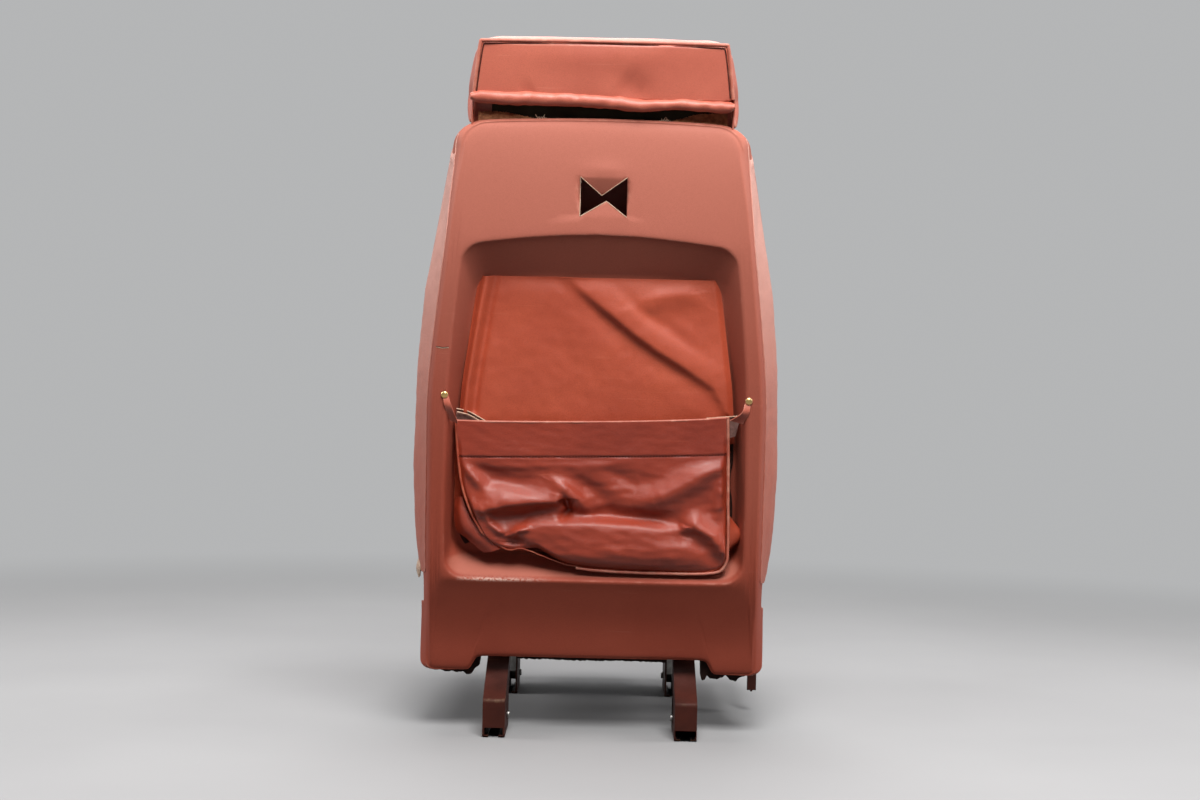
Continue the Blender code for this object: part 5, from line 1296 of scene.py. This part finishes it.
def headrest_lip():
    """The folded edge of the headrest's leather, which hangs open over the plate."""
    high = [(0.1745, 0.6925), (0.164, 0.696), (0.1256, 0.6955), (0.0509, 0.695), (-0.0114, 0.6925),
            (-0.049, 0.6885), (-0.0987, 0.69), (-0.14, 0.6885), (-0.164, 0.6885), (-0.1735, 0.685)]
    low = [(0.1745, 0.6865), (0.164, 0.682), (0.1254, 0.68), (0.0506, 0.68), (-0.0118, 0.6775),
           (-0.045, 0.6745), (-0.09, 0.6785), (-0.14, 0.676), (-0.164, 0.6755), (-0.1735, 0.68)]
    turns = []
    for angle in (100, 70, 35, 0, -35, -70, -110, -150):
        cos, sin = math.cos(math.radians(angle)), math.sin(math.radians(angle))
        turns.append([(a[0], 0.0405 + 0.0085 * cos, (a[1] + b[1]) / 2 + (a[1] - b[1]) / 2 * sin)
                      for a, b in zip(high, low)])
    lip = loft("headrest_lip", turns, 150, 22, 0.0016, ripple=0.0011, seed=3.0)
    sew(lip, HEAD_LEATHER, 0.008, body="headrest")


def headrest_flap(side, sign):
    """The leather that hangs at one lower corner of the headrest."""
    flap = sheet_grid(f"headrest_flap_{side}", 14, 20)
    s, t, _ = points_of(flap).T
    v = 0.648 + 0.046 * t
    w = 0.023 + (0.0205 - 0.006 * (1 - t)) * s
    uneven = 0.002 * rumple(stacked(s, t, s), 0.5, sign * 3.0)
    x = sign * (0.1775 - 0.0045 * t + uneven - 0.004 * (1 - t) ** 2)
    lay(flap, x, w, v, 0.0016, turned=sign < 0)
    sew(flap, HEAD_LEATHER, body="headrest")


def headrest_tape(side, sign):
    """The fuzzy tape at one end of the headrest's plate."""
    tape = sheet_grid(f"headrest_tape_{side}", 90, 16)
    s, t, _ = points_of(tape).T
    x = sign * (0.078 + 0.088 * s)
    tall = 0.0045 + (0.012 if sign < 0 else 0.009) * ease(s, 0.0, 0.7)
    tall = tall + 0.0018 * rumple(stacked(x, s, s), 0.006)
    v = 0.656 + tall * t
    w = 0.03 + 0.0014 * np.abs(rumple(stacked(x, v, s), 0.0026, 4.0))
    lay(tape, x, w, v, 0.0012, turned=sign > 0, angle=80)
    sew(tape, TAPE, body="headrest")


def headrest_tuft(side, sign):
    """Loose threads at the inner end of the tape."""
    strands = []
    for k in range(16):
        spot = (sign * (0.078 + 0.0022 * (k % 5)), 0.0325 + 0.0008 * (k % 3), 0.66 + 0.0006 * (k % 7))
        start = Vector(spot)
        bend = Vector((math.sin(2.1 * k), 0.4, math.cos(1.7 * k) + 0.4)) * 0.0035
        strands.append([start, start + bend * 0.5 + Vector((0.0, 0.001, 0.0)), start + bend])
    tuft = rod(f"headrest_tuft_{side}", strands, 0.00035, BACK, rings=1)
    sew(tuft, RAW_EDGE, body="headrest")


def headrest_tabs():
    for side, sign in (("left", 1), ("right", -1)):
        headrest_flap(side, sign)
        headrest_tape(side, sign)
        headrest_tuft(side, sign)


# Back and seat cushions


def bolster_half(v):
    rows = ((0.022, 0.244), (0.084, 0.252), (0.176, 0.2545), (0.322, 0.2487), (0.424, 0.2385),
            (0.506, 0.2226), (0.619, 0.2015), (0.638, 0.185))
    return np.interp(v, [row[0] for row in rows], [row[1] for row in rows])


def back_pad():
    """The back cushion with its two side bolsters, filled, then sewn."""
    made = pad_block(
        "back_pad",
        [
            ((-0.235, -0.058, 0.03), (0.235, -0.015, 0.63)),
            ((-0.235, -0.08, 0.034), (-0.165, -0.02, 0.622)),
            ((0.165, -0.08, 0.034), (0.235, -0.02, 0.622)),
        ],
        0.007,
    )
    points = points_of(made)
    points[:, 0] *= (bolster_half(points[:, 2]) - 0.006) / 0.235
    put_points(made, points)

    def reach(points):
        return 0.008 * ease(-points[:, 1], 0.018, 0.035) + 0.0003

    fill_pad(made, reach)
    round_off(made)
    points = points_of(made)
    x, w, v = points.T
    front = ease(-w, 0.035, 0.05)
    inner = bolster_half(v) - 0.085
    seam = np.exp(-((np.abs(x) - inner) / 0.005) ** 2)
    for row in (0.15, 0.27, 0.39, 0.51):
        seam = np.maximum(seam, np.exp(-((v - row) / 0.005) ** 2) * (np.abs(x) < inner))
    w = w + front * (0.007 * seam + 0.0012 * rumple(points, 0.05, 3.0))
    put_points(made, stacked(x, w, v))
    settle(made, BACK)
    smooth(made)
    sew(made, LEATHER, 0.012, "back_cushion")
    up = BACK.to_3x3() @ Vector((0.0, -1.0, 0.0))
    for side, sign in (("left", 1), ("right", -1)):
        line = [BACK @ Vector((sign * (float(bolster_half(v)) - 0.085), -0.06,
                               v)) for v in np.linspace(0.045, 0.612, 60)]
        bead = rod(f"back_seam_piping_{side}", [surface_line(made, line, up, 0.0012)], 0.0022)
        sew(bead, PIPING, 0.004)


def seat_pad():
    """The seat cushion with its boxing, thigh roll and sewn seams."""
    made = pad_block(
        "seat_pad",
        [
            ((-0.228, -0.33, 0.1795), (0.228, 0.066, 0.272)),
            ((-0.228, -0.322, 0.19), (-0.15, 0.058, 0.28)),
            ((0.15, -0.322, 0.19), (0.228, 0.058, 0.28)),
            ((-0.222, -0.33, 0.19), (0.222, -0.255, 0.28)),
        ],
        0.007,
    )

    def reach(points):
        return 0.008 * ease(points[:, 2], 0.185, 0.215) + 0.0003

    fill_pad(made, reach)
    round_off(made)
    points = points_of(made)
    x, y, z = points.T
    top = ease(z, 0.245, 0.262)
    inside = (np.abs(x) < 0.15) & (y > -0.25)
    seam = np.exp(-((np.abs(x) - 0.15) / 0.005) ** 2) * (y > -0.252)
    seam = np.maximum(seam, np.exp(-((y + 0.252) / 0.005) ** 2) * (np.abs(x) < 0.152))
    for row in (-0.175, -0.095, -0.015):
        seam = np.maximum(seam, np.exp(-((y - row) / 0.005) ** 2) * inside)
    z = z - top * (0.007 * seam - 0.0012 * rumple(points, 0.05, 3.0))
    put_points(made, stacked(x, y, z))
    smooth(made)
    sew(made, LEATHER, 0.012, "seat_cushion", "base")
    line = [(0.15, 0.05, 0.3), (0.15, -0.1, 0.3), (0.15, -0.235, 0.3), (0.138, -0.252, 0.3),
            (0.0, -0.254, 0.3)]
    line += [(-x_, y_, z_) for x_, y_, z_ in reversed(line[:-1])]
    bead = rod("seat_seam_piping", [surface_line(made, smooth_line(line, 140), (0, 0, 1), 0.0012)], 0.0022)
    sew(bead, PIPING, 0.004, body="base")


# Frame and mechanism

BODY_OF = {node: body for body, nodes in frame["record"]["behaviour"]["bodies"].items() for node in nodes}

# Finish, slot, width of the arris, and the nodes; a star stands for left and right
DRESSED = (
    (PAINT, "frame_paint", 0.0006, "rear_leg_* front_leg_* frame_rail_* front_cross_tube rear_cross_tube "
     "seat_pan hinge_bracket_* bar_bracket_* lock_bracket back_stile_* back_lower_rail back_middle_rail "
     "back_top_rail recline_arm adjust_bar"),
    (LEVER_PAINT, "frame_paint", 0.0006, "recline_lever"),
    (STEEL, "steel", 0.0004, "rear_axle_* front_axle_* pivot_bolt_* bar_bolt_* lock_cylinder "
     "headrest_socket_* lock_pivot_pin lock_rod lever_shaft lock_pin_* pin_guide_*"),
    (BRASS, "brass", 0.0002, "pocket_stud_* release_plunger"),
    (KHAKI, "khaki_board", 0.0004, "back_board"),
    # The headrest plate: khaki darkened as painted shade.
    (SHADED_KHAKI, "khaki_board", 0.0004, "headrest_frame"),
    (NYLON, "nylon", 0.0003, "rear_roller_* front_roller_*"),
    (GRIP, "grip_plastic", 0.0005, "lever_grip"),
)
STUD_SPREAD = 1.25


def both_sides(names):
    """The names in a row of words, with each star written out as left and right."""
    for name in names.split():
        for side in ("left", "right") if name.endswith("*") else ("",):
            yield name.replace("*", side)


def frame_and_mechanism():
    """Each rigid node again, merged, with its arrises broken and its finish."""
    for finish, slot, arris, nodes in DRESSED:
        for node in both_sides(nodes):
            made = copy_of(node, node + "_finished", whole=True)
            if node.startswith("pocket_stud"):
                edit_all(made)
                bpy.ops.transform.resize(value=(STUD_SPREAD, 1.0, STUD_SPREAD))
                leave_edit()
            edges = made.modifiers.new("arris", "BEVEL")
            edges.width = arris
            edges.segments = 2
            edges.limit_method = "ANGLE"
            edges.angle_limit = math.radians(35)
            edges.use_clamp_overlap = True
            apply_all(made)
            pick_faces(made, lambda face: face.area > 6e-5)
            bpy.ops.mesh.inset(thickness=0.0012, use_individual=True, use_even_offset=False)
            leave_edit()
            smooth(made, 35)
            fix(made, BODY_OF[node], finish, node, radius=0.0012)


def springs():
    """The lock pins' coil springs, drawn with round wire."""
    for side in ("left", "right"):
        low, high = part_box(f"pin_spring_{side}")
        middle = (low + high) / 2
        wire = 0.0007
        radius = (high.x - low.x) / 2 - wire
        turns = 5.5
        line = []
        for step in range(int(turns * 24) + 1):
            angle = step / 24 * 2 * math.pi
            rise = min(max((step / 24 - 0.75) / (turns - 1.5), 0.0), 1.0)
            z = low.z + wire + (high.z - low.z - 2 * wire) * rise
            line.append((middle.x + radius * math.cos(angle), middle.y + radius * math.sin(angle), z))
        made = rod(f"pin_spring_coil_{side}", [line], wire, rings=2)
        fix(made, "base", STEEL, f"pin_spring_{side}")
        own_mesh(made)


camera()
lights()
backdrop()
floor()
back_shell()
torn_cloth_and_shade()
lining()
recess_shade_sheet()
pocket()
headrest()
headrest_seams()
headrest_lip()
headrest_tabs()
back_pad()
seat_pad()
frame_and_mechanism()
springs()
bolster_cover()
